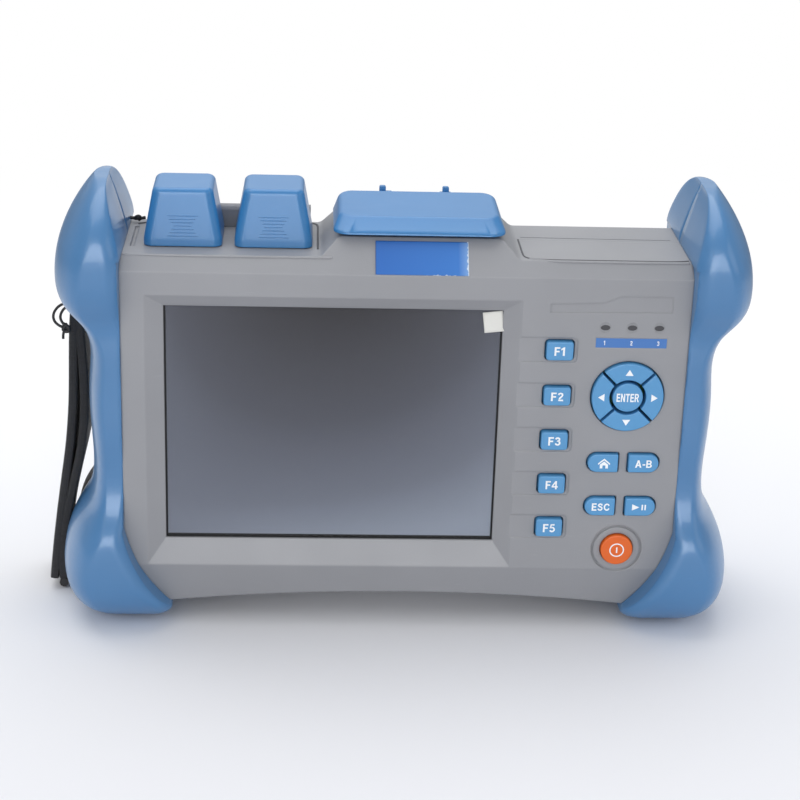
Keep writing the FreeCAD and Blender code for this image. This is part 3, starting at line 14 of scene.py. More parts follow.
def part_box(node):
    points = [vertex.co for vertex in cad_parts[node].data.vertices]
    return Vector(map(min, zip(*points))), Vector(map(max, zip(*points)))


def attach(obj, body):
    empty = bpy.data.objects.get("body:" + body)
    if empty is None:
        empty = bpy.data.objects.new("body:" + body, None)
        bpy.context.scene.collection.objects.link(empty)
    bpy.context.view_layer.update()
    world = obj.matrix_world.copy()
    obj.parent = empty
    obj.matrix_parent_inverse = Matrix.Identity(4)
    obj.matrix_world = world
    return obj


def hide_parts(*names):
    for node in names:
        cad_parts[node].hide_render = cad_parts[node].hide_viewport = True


MM = 0.001
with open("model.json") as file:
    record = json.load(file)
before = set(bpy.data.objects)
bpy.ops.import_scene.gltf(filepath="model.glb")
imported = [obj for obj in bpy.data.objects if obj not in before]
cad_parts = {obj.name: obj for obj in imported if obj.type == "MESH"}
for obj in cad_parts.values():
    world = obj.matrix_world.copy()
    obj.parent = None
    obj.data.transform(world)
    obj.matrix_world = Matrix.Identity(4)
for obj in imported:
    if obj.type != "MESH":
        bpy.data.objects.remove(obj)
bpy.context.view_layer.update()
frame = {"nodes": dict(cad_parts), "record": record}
nodes = frame["nodes"]
case_low, case_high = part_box("front_shell")
MID_X = (case_low.x + case_high.x) / 2
FACE_Y = case_low.y


def spot(x, y, z):
    """A place in the case's frame, given in millimetres."""
    return Vector((MID_X + x * MM, FACE_Y + y * MM, z * MM))


def middle(node):
    low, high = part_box(node)
    return (low + high) / 2


def rgb(red, green, blue):
    """A linear colour from 0 to 255 display values."""
    shares = [((v / 255 + 0.055) / 1.055) ** 2.4 if v > 10 else v / 3295 for v in (red, green, blue)]
    return (*shares, 1.0)


def shade(colour, factor):
    return tuple(min(v * factor, 1.0) for v in colour[:3]) + (1.0,)


# ---------------------------------------------------------------- node trees

class Net:
    """Shorthand for wiring one node tree."""

    def __init__(self, tree):
        self.tree = tree

    def add(self, kind, inputs=None, **settings):
        node = self.tree.nodes.new(kind)
        for name, value in settings.items():
            setattr(node, name, value)
        for name, value in (inputs or {}).items():
            self.feed(node.inputs[name], value)
        return node

    def feed(self, socket, value):
        if isinstance(value, bpy.types.NodeSocket):
            self.tree.links.new(value, socket)
        else:
            socket.default_value = value

    def math(self, operation, first, second=0.0, clamp=False):
        node = self.add("ShaderNodeMath", operation=operation, use_clamp=clamp)
        self.feed(node.inputs[0], first)
        self.feed(node.inputs[1], second)
        return node.outputs[0]

    def blend(self, factor, first, second):
        node = self.add("ShaderNodeMix", data_type="RGBA")
        for index, value in ((0, factor), (6, first), (7, second)):
            self.feed(node.inputs[index], value)
        return node.outputs[2]

    def remap(self, value, low, high, to_low=0.0, to_high=1.0):
        node = self.add("ShaderNodeMapRange", {"Value": value, "From Min": low, "From Max": high,
                                               "To Min": to_low, "To Max": to_high})
        return node.outputs["Result"]


def node_group(name, kind, inputs, outputs):
    """A new group with named sockets: its net, its inputs and its output node."""
    tree = bpy.data.node_groups.new(name, kind)
    for label, socket, value in inputs:
        made = tree.interface.new_socket(label, in_out="INPUT", socket_type="NodeSocket" + socket)
        if value is not None:
            made.default_value = value
    for label, socket in outputs:
        tree.interface.new_socket(label, in_out="OUTPUT", socket_type="NodeSocket" + socket)
    net = Net(tree)
    return net, net.add("NodeGroupInput").outputs, net.add("NodeGroupOutput")


def grain_group():
    """Fine moulded grain as a normal, and a slow cloud for colour and gloss."""
    net, given, result = node_group(
        "Moulded grain", "ShaderNodeTree",
        [("Scale", "Float", 2000.0), ("Depth", "Float", 0.00002), ("Normal", "Vector", None)],
        [("Normal", "Vector"), ("Cloud", "Float")])
    place = net.add("ShaderNodeTexCoord").outputs["Object"]
    fine = net.add("ShaderNodeTexNoise", {"Vector": place, "Scale": given["Scale"], "Detail": 2.0})
    bump = net.add("ShaderNodeBump", {"Height": fine.outputs["Fac"], "Distance": given["Depth"],
                                      "Normal": given["Normal"]})
    cloud = net.add("ShaderNodeTexNoise", {"Vector": place, "Scale": 22.0, "Detail": 5.0})
    net.feed(result.inputs["Normal"], bump.outputs["Normal"])
    net.feed(result.inputs["Cloud"], net.remap(cloud.outputs["Fac"], 0.3, 0.7))
    return net.tree


def edge_group():
    """Rounded-looking edges: a softened normal and a mask of where the edges are."""
    net, given, result = node_group(
        "Soft edges", "ShaderNodeTree", [("Radius", "Float", 0.0004)],
        [("Normal", "Vector"), ("Edge", "Float")])
    soft = net.add("ShaderNodeBevel", {"Radius": given["Radius"]}, samples=6)
    plain = net.add("ShaderNodeNewGeometry").outputs["Normal"]
    match = net.add("ShaderNodeVectorMath", operation="DOT_PRODUCT")
    net.feed(match.inputs[0], soft.outputs["Normal"])
    net.feed(match.inputs[1], plain)
    net.feed(result.inputs["Normal"], soft.outputs["Normal"])
    net.feed(result.inputs["Edge"], net.remap(match.outputs["Value"], 0.995, 0.85))
    return net.tree


def marks_group():
    """Handling marks: smudges that change the gloss, and short fine scuffs."""
    net, given, result = node_group(
        "Handling marks", "ShaderNodeTree", [("Amount", "Float", 0.5)],
        [("Smudge", "Float"), ("Scuff", "Float")])
    place = net.add("ShaderNodeTexCoord").outputs["Object"]
    stretch = net.add("ShaderNodeMapping", {"Vector": place, "Rotation": (0.3, 0.7, 0.2),
                                            "Scale": (1.0, 1.0, 7.0)}).outputs["Vector"]
    smudge = net.add("ShaderNodeTexNoise", {"Vector": place, "Scale": 45.0, "Detail": 6.0,
                                            "Distortion": 0.6}).outputs["Fac"]
    scuff = net.add("ShaderNodeTexNoise", {"Vector": stretch, "Scale": 160.0, "Detail": 1.0}).outputs["Fac"]
    patch = net.add("ShaderNodeTexNoise", {"Vector": place, "Scale": 14.0, "Detail": 1.0}).outputs["Fac"]
    rare = net.math("MULTIPLY", net.remap(scuff, 0.70, 0.78), net.remap(patch, 0.52, 0.62))
    net.feed(result.inputs["Smudge"], net.math("MULTIPLY", net.remap(smudge, 0.45, 0.7), given["Amount"]))
    net.feed(result.inputs["Scuff"], net.math("MULTIPLY", rare, given["Amount"]))
    return net.tree


GRAIN, EDGES, MARKS = grain_group(), edge_group(), marks_group()


def material(name):
    """A new material: its net and its Principled shader, already joined to the output."""
    made = bpy.data.materials.new(name)
    made.use_nodes = True
    net = Net(made.node_tree)
    return made, net, made.node_tree.nodes["Principled BSDF"]


def moulding(name, colour, rough, edge=0.4, wear=0.12, grain=0.02, grain_scale=2000.0, cloudy=0.04,
             marks=0.4, metallic=0.0, coat=0.0, sheen=0.0):
    """Moulded plastic, rubber or metal with grain, soft and slightly worn edges, and handling marks."""
    made, net, shader = material(name)
    edges = net.add("ShaderNodeGroup", node_tree=EDGES)
    edges.inputs["Radius"].default_value = edge * MM
    skin = net.add("ShaderNodeGroup", node_tree=GRAIN)
    net.feed(skin.inputs["Scale"], grain_scale)
    net.feed(skin.inputs["Depth"], grain * MM)
    net.feed(skin.inputs["Normal"], edges.outputs["Normal"])
    used = net.add("ShaderNodeGroup", node_tree=MARKS)
    used.inputs["Amount"].default_value = marks
    base = net.blend(skin.outputs["Cloud"], shade(colour, 1 - cloudy), shade(colour, 1 + cloudy))
    base = net.blend(net.math("MULTIPLY", edges.outputs["Edge"], wear), base, shade(colour, 1.9))
    base = net.blend(net.math("MULTIPLY", used.outputs["Scuff"], 0.3), base, shade(colour, 1.5))
    net.feed(shader.inputs["Base Color"], base)
    net.feed(shader.inputs["Roughness"], net.remap(used.outputs["Smudge"], 0.0, 1.0, rough, rough - 0.1))
    net.feed(shader.inputs["Normal"], skin.outputs["Normal"])
    shader.inputs["Metallic"].default_value = metallic
    shader.inputs["Coat Weight"].default_value = coat
    shader.inputs["Coat Roughness"].default_value = 0.15
    shader.inputs["Sheen Weight"].default_value = sheen
    shader.inputs["Sheen Roughness"].default_value = 0.4
    return made


def across(net, node):
    """Object places turned to -1 to 1 across a node's box, as separate values."""
    low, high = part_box(node)
    centre, half = (low + high) / 2, (high - low) / 2
    place = net.add("ShaderNodeTexCoord").outputs["Object"]
    local = net.add("ShaderNodeMapping", {"Vector": place})
    local.inputs["Location"].default_value = (-centre.x / half.x, 0, -centre.z / half.z)
    local.inputs["Scale"].default_value = (1 / half.x, 1, 1 / half.z)
    return net.add("ShaderNodeSeparateXYZ", {"Vector": local.outputs["Vector"]}).outputs


def window_finish():
    """The dark, switched-off display behind its window, lightened lower down and at the sides by a painted
    reflection, with black painted shadow in the gap round the film.
    """
    made, net, shader = material("Dark display with painted reflection")
    spot_x, _, spot_z = across(net, "screen_film")
    rise = net.remap(spot_z, -1.0, 1.0)
    fall = net.math("SUBTRACT", 1.0, rise)
    sides = net.math("MULTIPLY", net.math("POWER", net.math("ABSOLUTE", spot_x), 2.0), rise)
    right = net.math("MULTIPLY", net.remap(spot_x, -1.0, 1.0), fall)
    # Painted reflection: darker towards the top, lighter lower down, at the sides and towards the lower
    # right.
    reflection_level = net.math("ADD", net.math("MULTIPLY", fall, 0.85), net.math("MULTIPLY", sides, 0.5))
    reflection_level = net.math("ADD", reflection_level, net.math("MULTIPLY", right, 0.2), clamp=True)
    ramp = net.add("ShaderNodeValToRGB", {"Fac": reflection_level})
    stops = ramp.color_ramp
    stops.elements[0].color, stops.elements[1].color = rgb(36, 35, 40), rgb(142, 150, 164)
    stops.elements.new(0.45).color = rgb(74, 76, 86)
    stops.elements.new(0.78).color = rgb(106, 111, 124)
    # Painted shadow: black in the gap between the film and the lip, along the sides and the bottom.
    rim = net.math("MAXIMUM", net.remap(net.math("ABSOLUTE", spot_x), 0.996, 0.999),
                   net.remap(net.math("SUBTRACT", 0.0, spot_z), 0.980, 0.985))
    net.feed(shader.inputs["Base Color"], net.blend(rim, ramp.outputs["Color"], rgb(6, 6, 8)))
    net.feed(shader.inputs["Coat Weight"], net.math("SUBTRACT", 0.1, net.math("MULTIPLY", rim, 0.1)))
    shader.inputs["Roughness"].default_value = 0.4
    shader.inputs["Specular IOR Level"].default_value = 0.3
    shader.inputs["Coat Roughness"].default_value = 0.14
    return made


def film_finish():
    """A thin clear film with a little haze, wiping marks and a few caught specks."""
    made, net, shader = material("Clear film")
    place = net.add("ShaderNodeTexCoord").outputs["Object"]
    cells = net.add("ShaderNodeTexVoronoi", {"Vector": place, "Scale": 62.0}, feature="F1")
    dot = net.remap(cells.outputs["Distance"], 0.075, 0.03)
    pick = net.add("ShaderNodeSeparateColor", {"Color": cells.outputs["Color"]}).outputs[0]
    specks = net.math("MULTIPLY", dot, net.remap(pick, 0.84, 0.86))
    haze = net.math("MULTIPLY", specks, 0.3)
    shader.inputs["Base Color"].default_value = rgb(205, 208, 214)
    net.feed(shader.inputs["Alpha"], net.math("ADD", haze, 0.02))
    shader.inputs["Roughness"].default_value = 0.3
    return made


def weave_finish():
    """Black webbing from the strip's own map: ribs along it, fine weft across."""
    made, net, shader = material("Black webbing")
    along = net.add("ShaderNodeUVMap", uv_map="strip").outputs["UV"]
    split = net.add("ShaderNodeSeparateXYZ", {"Vector": along})
    ribs = net.math("SINE", net.math("MULTIPLY", split.outputs["X"], 2 * math.pi * 14))
    weft = net.math("SINE", net.math("MULTIPLY", split.outputs["Y"], 2 * math.pi * 90))
    cloth = net.math("ADD", net.math("MULTIPLY", ribs, 0.6), net.math("MULTIPLY", weft, 0.25))
    bump = net.add("ShaderNodeBump", {"Height": cloth, "Distance": 0.35 * MM})
    fuzz = net.add("ShaderNodeTexNoise", {"Vector": along, "Scale": 60.0, "Detail": 4.0}).outputs["Fac"]
    black = net.blend(net.remap(fuzz, 0.35, 0.7), rgb(13, 13, 16), rgb(38, 38, 43))
    net.feed(shader.inputs["Base Color"], black)
    net.feed(shader.inputs["Normal"], bump.outputs["Normal"])
    net.feed(shader.inputs["Roughness"], net.remap(cloth, -0.8, 0.8, 0.75, 0.5))
    shader.inputs["Sheen Weight"].default_value = 0.12
    return made


def label_finish(node):
    """A blue film label: pale where its right and lower borders have lifted and chipped."""
    made, net, shader = material("Blue label")
    spot_x, _, spot_z = across(net, node)
    place = net.add("ShaderNodeTexCoord").outputs["Object"]
    torn = net.add("ShaderNodeTexNoise", {"Vector": place, "Scale": 620.0, "Detail": 2.0}).outputs["Fac"]
    ragged = net.math("MULTIPLY", net.remap(torn, 0.45, 0.75), 0.05)
    right = net.remap(net.math("ADD", spot_x, ragged), 0.985, 0.995)
    reach = net.math("MULTIPLY", ragged, net.math("MULTIPLY", net.remap(spot_x, -0.1, 0.3), 3.0))
    lower = net.remap(net.math("SUBTRACT", reach, spot_z), 0.985, 1.0)
    # Painted highlight: the blue turns paler towards the label's right end.
    sheen_end = net.math("MULTIPLY", net.remap(spot_x, 0.78, 0.98), 0.5)
    blue = net.blend(net.remap(spot_x, -1.0, 1.0), rgb(34, 102, 184), rgb(50, 118, 197))
    blue = net.blend(sheen_end, blue, rgb(150, 186, 226))
    border = net.math("MAXIMUM", net.remap(net.math("SUBTRACT", 0.0, spot_x), 0.982, 0.986),
                      net.remap(spot_z, 0.95, 0.96))
    blue = net.blend(net.math("MULTIPLY", border, 0.55), blue, rgb(28, 58, 110))
    chipped = net.math("MAXIMUM", right, lower)
    net.feed(shader.inputs["Base Color"], net.blend(chipped, blue, rgb(206, 218, 232)))
    shader.inputs["Roughness"].default_value = 0.3
    shader.inputs["Coat Weight"].default_value = 0.5
    return made


CASE = moulding("Grey case plastic", rgb(146, 147, 151), 0.5, edge=0.9, wear=0.16, grain=0.03)
GRIP = moulding("Blue grip rubber", rgb(70, 123, 172), 0.4, edge=0.4, wear=0.05, grain=0.006, cloudy=0.03,
                coat=0.4)
COVER = moulding("Blue cover rubber", rgb(52, 121, 178), 0.4, edge=0.4, wear=0.15, grain=0.005, cloudy=0.03,
                 coat=0.25)
KEY = moulding("Blue key rubber", rgb(78, 148, 200), 0.5, edge=0.35, wear=0.3, grain=0.006, coat=0.2)
POWER = moulding("Orange key plastic", rgb(226, 97, 3), 0.5, edge=0.5, wear=0.2, grain=0.006)
PRINT = moulding("White print", rgb(244, 246, 248), 0.5, edge=0.05, wear=0.0, grain=0.004, marks=0.1)
STEEL = moulding("Plain steel", rgb(178, 180, 184), 0.32, edge=0.15, grain=0.004, metallic=1.0)
NICKEL = moulding("Nickel plate", rgb(196, 197, 198), 0.25, edge=0.2, grain=0.004, metallic=1.0)
BLACK = moulding("Black socket plastic", rgb(32, 32, 35), 0.45, edge=0.2, wear=0.1)
FOAM = moulding("Foam rubber", rgb(28, 28, 30), 0.85, edge=0.2, grain=0.06)
SHEET_METAL = moulding("Sheet metal", rgb(160, 162, 166), 0.4, edge=0.2, metallic=1.0)
BOARD = moulding("Green board", rgb(30, 92, 56), 0.4, edge=0.2)
SPOOL = moulding("White spool plastic", rgb(214, 213, 208), 0.5, edge=0.4)
BATTERY = moulding("Dark shrink film", rgb(44, 46, 52), 0.35, edge=0.6)
HINGE = moulding("Dark grey hinge plastic", rgb(120, 122, 128), 0.5, edge=0.3, wear=0.2)
# Painted shade: a dark grey for thin lines laid where the valley behind the lip and the grooves by the caps
# lie in shade.
GROOVE_SHADE = moulding("Grey painted groove shade", rgb(92, 93, 97), 0.7, edge=0.05, wear=0.0)
LENS = moulding("Smoked lens", rgb(58, 58, 62), 0.25, edge=0.2, wear=0.3, coat=0.5)
STRIP = moulding("Blue strip", rgb(60, 117, 188), 0.35, edge=0.1, wear=0.05, coat=0.3)
TAB = moulding("Off-white paper", rgb(226, 225, 219), 0.8, edge=0.1, grain=0.02)
CORD = moulding("Black cord", rgb(20, 20, 23), 0.6, edge=0.1, grain=0.08, grain_scale=1600.0)
# Painted shade: a near-black for the crosses that stand for the recesses in the screw heads.
RECESS_SHADE = moulding("Painted recess shade", rgb(20, 21, 24), 0.7, edge=0.05, wear=0.0)
WEBBING, DISPLAY_REFLECTION, FILM = weave_finish(), window_finish(), film_finish()
LABEL = label_finish("name_plate")

FINISHES = {
    "front_shell": CASE, "rear_shell": CASE, "battery_cover": CASE, "stand": CASE, "cap_hinge_block": HINGE,
    "touch_window": DISPLAY_REFLECTION, "display_gasket": FOAM, "display_module": SHEET_METAL,
    "display_bracket": SHEET_METAL, "screen_film": FILM, "film_tab": TAB, "indicator_strip": STRIP,
    "indicator_lamps": LENS, "name_plate": LABEL, "power_button": POWER, "keypad_board": BOARD,
    "main_board": BOARD, "optical_module": SHEET_METAL, "fibre_spool": SPOOL, "battery_pack": BATTERY,
    "otdr_port": NICKEL, "vfl_port": NICKEL, "ethernet_jack": NICKEL, "usb_host_port": NICKEL,
    "usb_device_port": NICKEL, "dc_jack": BLACK, "port_panel": BLACK, "otdr_cap": COVER, "vfl_cap": COVER,
    "port_cover": COVER, "cap_hinge_pin": STEEL, "cover_hinge_pin": STEEL, "stand_pins": STEEL,
    "battery_cover_screws": STEEL, "case_screws": STEEL, "strap_loop": CORD,
}
FINISHES |= {name: KEY for name in nodes if name.startswith("key_")}
FINISHES |= {name: GRIP for name in nodes if name.startswith("bumper_")}
bodies = frame["record"]["behaviour"]["bodies"]
BODY_OF = {node: body for body, members in bodies.items() for node in members}


# ---------------------------------------------------------------- carried-over pieces

def paint(obj, finish):
    if not obj.material_slots:
        obj.data.materials.append(finish)
    for slot in obj.material_slots:
        slot.material = finish


def place_piece(obj, body, finish):
    """Puts a finished piece in the scene on its body, with its finish."""
    if obj.name not in bpy.context.scene.collection.all_objects:
        bpy.context.scene.collection.objects.link(obj)
    paint(obj, finish)
    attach(obj, body)
    return obj


def baked(obj):
    """The object's evaluated shape as a plain mesh without modifiers."""
    if obj.name not in bpy.context.scene.collection.all_objects:
        bpy.context.scene.collection.objects.link(obj)
    bpy.context.view_layer.update()
    view = obj.evaluated_get(bpy.context.evaluated_depsgraph_get())
    mesh = bpy.data.meshes.new_from_object(view)
    old = obj.data
    name = obj.name
    bpy.data.objects.remove(obj)
    if old.users == 0 and isinstance(old, bpy.types.Mesh):
        bpy.data.meshes.remove(old)
    return bpy.data.objects.new(name, mesh)


def closed_mesh(shape, name, smooth=False):
    """A mesh from a closed form, with its faces turned outward; the form is freed."""
    bmesh.ops.recalc_face_normals(shape, faces=shape.faces)
    for face in shape.faces:
        face.smooth = smooth
    mesh = bpy.data.meshes.new(name)
    shape.to_mesh(mesh)
    shape.free()
    return mesh


def smooth_copy(node, sharp=32.0):
    """A welded copy of a moulded node whose curved faces shade smoothly; it stands for the node."""
    shell = bmesh.new()
    shell.from_mesh(nodes[node].data)
    bmesh.ops.remove_doubles(shell, verts=shell.verts, dist=1e-6)
    bmesh.ops.dissolve_degenerate(shell, edges=shell.edges, dist=1e-7)
    mesh = bpy.data.meshes.new(node + "_skin")
    for face in shell.faces:
        face.smooth = True
    shell.to_mesh(mesh)
    shell.free()
    mesh.set_sharp_from_angle(angle=math.radians(sharp))
    obj = bpy.data.objects.new(node + "_skin", mesh)
    weight = obj.modifiers.new("Face weights", "WEIGHTED_NORMAL")
    weight.keep_sharp = True
    weight.mode = "FACE_AREA"
    obj = baked(obj)
    place_piece(obj, BODY_OF[node], FINISHES[node])
    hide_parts(node)
    return obj


ARROW_KEYS = ("key_up", "key_right", "key_down", "key_left")
# Millimetres: a key's draw on each side; the cover's fall in front and rise behind, and its lip's rise.
KEY_DRAW = 0.28
COVER_FALL, COVER_RISE, COVER_LIP = 1.2, 1.4, 1.1


def shrink_key(mesh, name):
    """Draws a key's sides in a little, so that the gap round it shows as it does on a soft key."""
    if name in ARROW_KEYS:
        pad = middle("key_enter")
        facing = math.pi / 2 - ARROW_KEYS.index(name) * math.pi / 2
        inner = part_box("key_enter")[1].x - pad.x
        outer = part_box("key_up")[1].z - pad.z
        between = (inner + outer) / 2
        for v in mesh.vertices:
            away = Vector((v.co.x - pad.x, v.co.z - pad.z))
            turn = (math.atan2(away.y, away.x) - facing + math.pi) % (2 * math.pi) - math.pi
            far = away.length
            turn *= 1 - KEY_DRAW * MM / (far * math.pi / 4)
            far = between + (far - between) * (1 - 2 * KEY_DRAW * MM / (outer - inner))
            v.co.x, v.co.z = pad.x + far * math.cos(facing + turn), pad.z + far * math.sin(facing + turn)
        return
    low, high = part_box(name)
    centre = (low + high) / 2
    draw = (2 if name == "key_enter" else 1) * KEY_DRAW * MM
    for v in mesh.vertices:
        v.co.x += (centre.x - v.co.x) * 2 * draw / (high.x - low.x)
        v.co.z += (centre.z - v.co.z) * 2 * draw / (high.z - low.z)


def soften_cover(mesh):
    """Lets the top of the soft port cover fall towards the front and its front edge draw up a little."""
    low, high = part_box("port_cover")
    for v in mesh.vertices:
        up = (v.co.z - low.z) / (high.z - low.z)
        back = (v.co.y - low.y) / (high.y - low.y)
        fall = up * ((COVER_FALL + COVER_RISE) * back - COVER_FALL)
        v.co.z += (fall + (1 - up) * COVER_LIP * (1 - back)) * MM


def cover_knuckles():
    """Two small hinge lugs that stand above the back edge of the port cover."""
    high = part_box("port_cover")[1]
    near, far = 3.4, 1.6
    lug = [(-1.2, -1.9), (1.2, -1.9), (1.2, -0.2), (0.8, 0.2), (-0.8, 0.2), (-1.2, -0.2)]
    for number, x in enumerate((-8.1, 15.4)):
        shape = bmesh.new()
        front = [shape.verts.new((MID_X + (x + u) * MM, high.y - near * MM, high.z + (v + COVER_RISE) * MM))
                 for u, v in lug]
        back = [shape.verts.new((c.co.x, high.y - far * MM, c.co.z)) for c in front]
        shape.faces.new(front)
        shape.faces.new(back[::-1])
        for i in range(len(lug)):
            k = (i + 1) % len(lug)
            shape.faces.new((front[k], front[i], back[i], back[k]))
        mesh = closed_mesh(shape, f"cover_knuckle_{number + 1}")
        place_piece(bpy.data.objects.new(mesh.name, mesh), "port_cover", COVER)


def top_lines():
    """Thin half-sunk lines along the lip and the shallow steps on top of the case, at (x, y) in its frame."""
    top, edge = 144.0, 144.0 - 0.2
    # The dark lines are painted shade in the valley behind the lip and in the grooves by the caps.
    lines = {
        "lip_shadow_line_right": (top, 0.32, GROOVE_SHADE, [(41.4, 30), (41.4, 14), (41.6, 8.5), (45.0, 6.0), (60, 5.8),
                                             (85, 5.8), (97, 5.8), (100.5, 7.0)]),
        "lip_edge_right": (edge, 0.5, CASE, [(43.2, 6.9), (48, 5.0), (60, 4.7), (96, 4.7), (100.4, 4.9)]),
        "top_step_right": (top, 0.22, CASE, [(42.5, 33), (60, 32.6), (80, 32.3), (98, 32)]),
        "lip_edge_left": (edge, 0.5, CASE, [(-100.6, 5.0), (-80, 4.7), (-50, 4.7), (-27, 4.8)]),
        "cap_step_shadow_right": (top, 0.4, GROOVE_SHADE, [(-32.0, 14), (-31.9, 38), (-31.9, 43), (-32.5, 45.6),
                                            (-34.8, 46.3)]),
        "cap_step_shadow_left": (top, 0.4, GROOVE_SHADE, [(-97.9, 41.5), (-96.9, 43.8), (-92, 44.8)]),
    }
    for name, (height, radius, finish, route) in lines.items():
        cord_piece(name, [(x, y, height) for x, y in route], radius, finish=finish)


def tie_cord():
    """The short black tie that fastens the strap beside the first dust cap."""
    cord_piece("strap_tie", [(-104.2, 44.5, 145.6), (-101.0, 44.2, 145.9), (-98.2, 44.0, 145.2),
                             (-95.6, 43.8, 146.0)], 0.6)
    cord_piece("strap_tie_knot", [(-99.4, 44.2, 145.4), (-98.4, 43.6, 146.6), (-97.4, 44.2, 145.6),
                                  (-98.2, 44.6, 145.0)], 0.8)


def tab_sheet():
    """The pull tab of the screen film: a small paper square, a little turned and curled off the film."""
    low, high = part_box("film_tab")
    wide, tall, thick, turn = 7.2, 7.6, 0.12, math.radians(7)
    gap, curl, steps = 0.15, 0.9, 8
    shape, rows = bmesh.new(), []
    for i in range(steps + 1):
        row = []
        for j in range(steps + 1):
            u, v = i / steps - 0.5, j / steps - 0.5
            x, z = u * wide, v * tall
            lift = gap + curl * (0.5 - v) ** 2 * (0.6 + 0.4 * u)
            x, z = x * math.cos(turn) - z * math.sin(turn), x * math.sin(turn) + z * math.cos(turn)
            row.append(shape.verts.new(((low.x + high.x) / 2 + (x + 0.35) * MM, low.y - lift * MM,
                                        (low.z + high.z) / 2 + (z - 0.4) * MM)))
        rows.append(row)
    for i in range(steps):
        for j in range(steps):
            shape.faces.new((rows[i][j], rows[i + 1][j], rows[i + 1][j + 1], rows[i][j + 1]))
    mesh = closed_mesh(shape, "film_tab_sheet", smooth=True)
    obj = bpy.data.objects.new(mesh.name, mesh)
    bpy.context.scene.collection.objects.link(obj)
    solid = obj.modifiers.new("Paper", "SOLIDIFY")
    solid.thickness = thick * MM
    obj = place_piece(baked(obj), "case", TAB)
    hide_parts("film_tab")


def lamp_places(node, y):
    """A place for each lamp at the middle height of a node's box: its number and the place, in metres."""
    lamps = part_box("indicator_lamps")
    pitch = (lamps[1].x - lamps[0].x - (lamps[1].z - lamps[0].z)) / 2
    low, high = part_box(node)
    return [(n + 2, ((low.x + high.x) / 2 + n * pitch, y, (low.z + high.z) / 2)) for n in (-1, 0, 1)]


def lamp_bezels():
    """Oval rims of case plastic that narrow each round lamp hole, with a smoked lens behind each."""
    half_wide, half_tall, rim, behind, count = 1.72, 1.02, 2.05, 0.03, 32
    oval = [(x * half_wide, y * half_tall) for x, y in ring(1.0, count)]
    lens = [(x * 1.1, y * 1.2) for x, y in oval]
    for number, at in lamp_places("indicator_lamps", FACE_Y):
        drawing(f"lamp_rim_{number}", "case", at, [ring(rim, count), oval], CASE)
        drawing(f"lamp_shade_{number}", "case", (at[0], at[1] + behind * MM, at[2]), [lens], LENS)


def dress_nodes():
    """Gives the curved nodes smooth copies, and every other node its finish."""
    curved = [n for n in nodes if n.startswith(("bumper_", "key_"))]
    curved += ["otdr_cap", "vfl_cap", "port_cover", "power_button", "name_plate"]
    for name, obj in nodes.items():
        if name in curved:
            piece = smooth_copy(name)
            if name.startswith("key_"):
                shrink_key(piece.data, name)
            if name == "port_cover":
                soften_cover(piece.data)
        elif name in FINISHES:
            paint(obj, FINISHES[name])


# ---------------------------------------------------------------- printed legends

PRINT_THICK = 0.05


def stand_up(mesh, x, y, z):
    """Turns a mesh drawn flat so that it faces the user, and moves it to a place in metres."""
    mesh.transform(Matrix.Translation((x, y, z)) @ Matrix.Rotation(math.radians(90), 4, "X"))


GLYPHS = {
    "1": (0.5, [[(0.2, 0), (0.42, 0), (0.42, 1), (0.26, 1), (0.0, 0.8), (0.0, 0.62), (0.2, 0.74)]]),
    "4": (0.74, [[(0.42, 0), (0.62, 0), (0.62, 0.22), (0.74, 0.22), (0.74, 0.39), (0.62, 0.39), (0.62, 1),
         (0.42, 1), (0.0, 0.39), (0.0, 0.22), (0.42, 0.22)], [(0.42, 0.39), (0.42, 0.72), (0.2, 0.39)]]),
    "A": (0.86, [[(0, 0), (0.21, 0), (0.29, 0.23), (0.57, 0.23), (0.65, 0), (0.86, 0), (0.54, 1),
         (0.32, 1)], [(0.35, 0.4), (0.51, 0.4), (0.43, 0.72)]]),
    "E": (0.66, [[(0, 0), (0.66, 0), (0.66, 0.18), (0.21, 0.18), (0.21, 0.42), (0.6, 0.42), (0.6, 0.6),
         (0.21, 0.6), (0.21, 0.82), (0.65, 0.82), (0.65, 1), (0, 1)]]),
    "F": (0.62, [[(0, 0), (0.21, 0), (0.21, 0.41), (0.56, 0.41), (0.56, 0.59), (0.21, 0.59), (0.21, 0.82),
         (0.62, 0.82), (0.62, 1), (0, 1)]]),
    "N": (0.76, [[(0, 0), (0.2, 0), (0.2, 0.66), (0.56, 0), (0.76, 0), (0.76, 1), (0.56, 1), (0.56, 0.34),
         (0.2, 1), (0, 1)]]),
    "T": (0.7, [[(0.245, 0), (0.455, 0), (0.455, 0.82), (0.7, 0.82), (0.7, 1), (0, 1), (0, 0.82),
         (0.245, 0.82)]]),
    "-": (0.36, [[(0, 0.3), (0.36, 0.3), (0.36, 0.48), (0, 0.48)]]),
}
